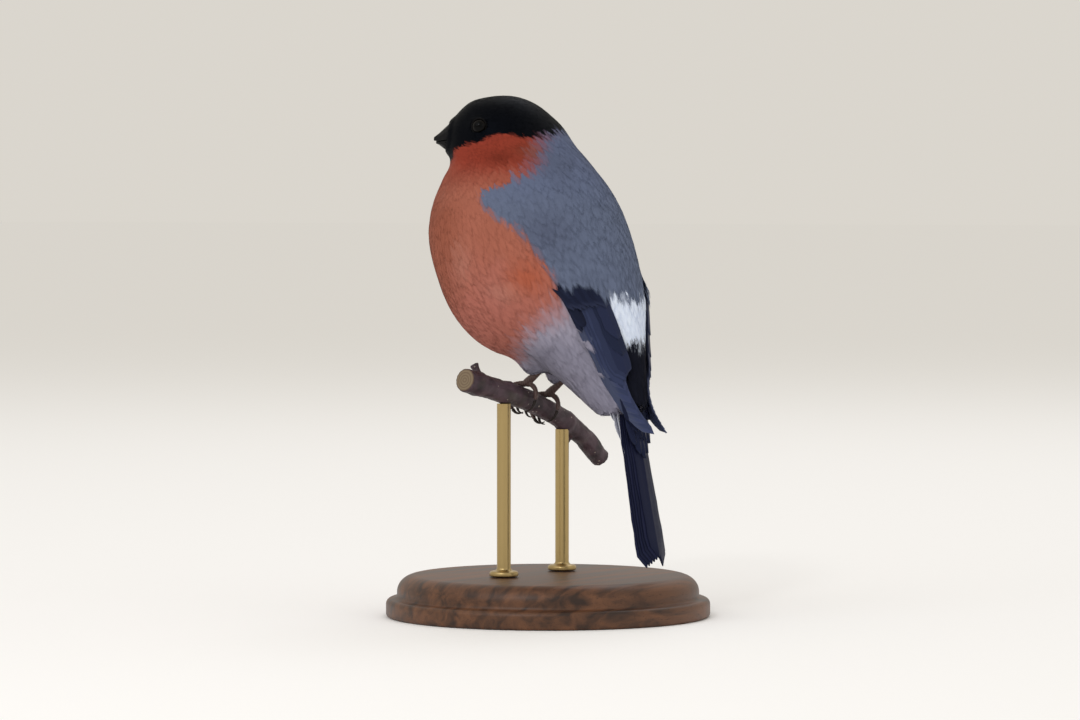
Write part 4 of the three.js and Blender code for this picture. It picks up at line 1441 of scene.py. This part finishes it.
# Walnut: turned from one board, so the grain runs straight across the top in bands 2 to 4 mm
# wide, with fine dark pores along it. Oiled to a satin finish.
def oiledWalnut():
    material, add = newMaterial("Walnut, turned and oiled")
    solid = add("TexCoord").outputs["Object"]
    along = add("Mapping", {"Vector": solid, "Scale": (14.0, 260.0, 260.0)})
    warp = add("TexNoise", {"Vector": along, "Scale": 1.0, "Detail": 5.0, "Distortion": 0.6})
    tone = add("ValToRGB", {"Fac": warp}, stops=((0.34, "#2e1c12"), (0.66, "#6b452c")))
    poreMap = add("Mapping", {"Vector": solid, "Scale": (260.0, 3800.0, 3800.0)})
    pores = add("TexNoise", {"Vector": poreMap, "Scale": 1.0, "Detail": 2.0})
    pore = add("MapRange", {"Value": pores, "From Min": 0.6, "From Max": 0.7, "To Max": 0.6})
    grained = add("Mix", {0: pore, 6: tone, 7: "#1d110b"}, data_type="RGBA")
    bump = add("Bump", {"Height": pore, "Strength": -0.3, "Distance": 0.08 * mm})
    rough = add("MapRange", {"Value": warp, "To Min": 0.36, "To Max": 0.52})
    return finishMaterial(material, grained.outputs[2], rough, gloss=0.4, bump=bump)


# Brass: turned and lacquered, with fine tool marks round it every 0.3 mm
def lacqueredBrass(markGap=0.3):
    material, add = newMaterial("Brass, turned and lacquered")
    solid = add("TexCoord").outputs["Object"]
    ripple = {"Vector": solid, "Scale": 0.9 / (markGap * mm) / 20, "Distortion": 0.4}
    marks = add("TexWave", ripple, bands_direction="Z").outputs["Fac"]
    bump = add("Bump", {"Height": marks, "Strength": 0.12, "Distance": 0.03 * mm})
    uneven = add("TexNoise", {"Vector": solid, "Scale": 300.0, "Detail": 3.0})
    rough = add("MapRange", {"Value": uneven, "To Min": 0.24, "To Max": 0.4})
    return finishMaterial(material, "#b39c6c", rough, bump=bump, more={"Metallic": 1.0})


def makeBase():
    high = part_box("stand_base")[1] / mm
    radius, top = high.x, high.z
    profile = [(radius - 1, 0), *arcProfile((radius - 1, 0), (radius, 1), 5, hollow=True)]
    profile += [(radius, 3.6), *arcProfile((radius, 3.6), (radius - 1.4, 5.2), 6)]
    profile += [(radius - 2.4, 5.4), *arcProfile((radius - 2.4, 5.4), (radius - 3.2, 6.6), 4, hollow=True)]
    profile += [(radius - 3.2, 7.2), *arcProfile((radius - 3.2, 7.2), (radius - 8.6, top), 10)]
    fit(turned("base_turned", profile, stand["sides"]), oiledWalnut(), "base_wood", "stand_base")


def makeRod(node, brass):
    low, high = (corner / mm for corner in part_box(node))
    centre = ((low.x + high.x) / 2, (low.y + high.y) / 2)
    collar, radius, rise = stand["collarRadius"], stand["rodRadius"], stand["collarHeight"]
    profile = [(collar - 0.3, low.z), (collar, low.z + 0.3), (collar, low.z + 0.8)]
    profile += arcProfile((collar, low.z + 0.8), (collar - 1, low.z + rise - 0.2), 5)
    profile += arcProfile((collar - 1, low.z + rise - 0.2), (radius, low.z + rise + 0.7), 6, hollow=True)
    profile += [(radius, high.z - 0.1)]
    fit(turned(node + "_brass", profile, stand["rodSides"], centre), brass, "rod_brass", node)


makeBase()
brass = lacqueredBrass()
for node in ("stand_rod_1", "stand_rod_2"):
    makeRod(node, brass)
print("stand")


# The camera, floor and lights

view = {
    "azimuth": 126,
    "elevation": 2,
    "lens": 150,
    "sensor": 36,
    "distance": 1305,
    "right": 0.9,  # from the feet to the middle of the picture
    "up": 9.6,
}
# Each light: azimuth, elevation, distance, width, power and colour
studio = {
    "key": (85, 42, 1500, 1500, 4.5, "#f4f7ff"),
    "spark": (104, 36, 1000, 110, 0.9, "#ffffff"),
    "fill": (175, 25, 1500, 1200, 1.0, "#f4f7ff"),
    "back": (290, 55, 1500, 900, 3.5, "#f4f7ff"),
}


# Puts a camera or a light some way from a place, looking at it
def lookAt(name, data, aim, away, distance):
    obj = newObject(name, data)
    obj.location = (aim + away * distance) * mm
    obj.rotation_euler = away.to_track_quat("Z", "Y").to_euler()
    return obj


def addCamera():
    away = Vector(heading(view["elevation"], view["azimuth"]))
    right = Vector((-away.y, away.x, 0)).normalized()
    aim = Vector(feet) + right * view["right"] + Vector((0, 0, view["up"]))
    data = bpy.data.cameras.new("camera")
    data.lens, data.sensor_width = view["lens"], view["sensor"]
    data.clip_start, data.clip_end = 0.05, 60
    bpy.context.scene.camera = lookAt("camera", data, aim, away, view["distance"])


def addLights():
    for name, (azimuth, elevation, distance, size, power, tint) in studio.items():
        data = bpy.data.lights.new(name, "AREA")
        data.shape, data.size, data.energy, data.color = "DISK", size * mm, power, linear(tint)
        lookAt(name, data, Vector(feet) + Vector((0, 0, 30)), Vector(heading(elevation, azimuth)), distance)


# Backdrop paper: matt, and so pale that the floor runs into the light behind it with no line
def addStage():
    floor = begin("floor", bpy.ops.mesh.primitive_plane_add, size=40, location=(0, 0, -0.02 * mm))
    material = newMaterial("Backdrop paper, matt off white")[0]
    finishMaterial(material, (0.985, 0.985, 0.985, 1), 1.0, gloss=0.0)
    floor.data.materials.append(material)
    world = bpy.data.worlds.new("studio")
    world.use_nodes = True
    background = world.node_tree.nodes["Background"].inputs
    background[0].default_value, background[1].default_value = rgba("#f1ece3"), 0.8
    bpy.context.scene.world = world
    bpy.context.scene.view_settings.view_transform = "Standard"


addCamera()
addStage()
addLights()
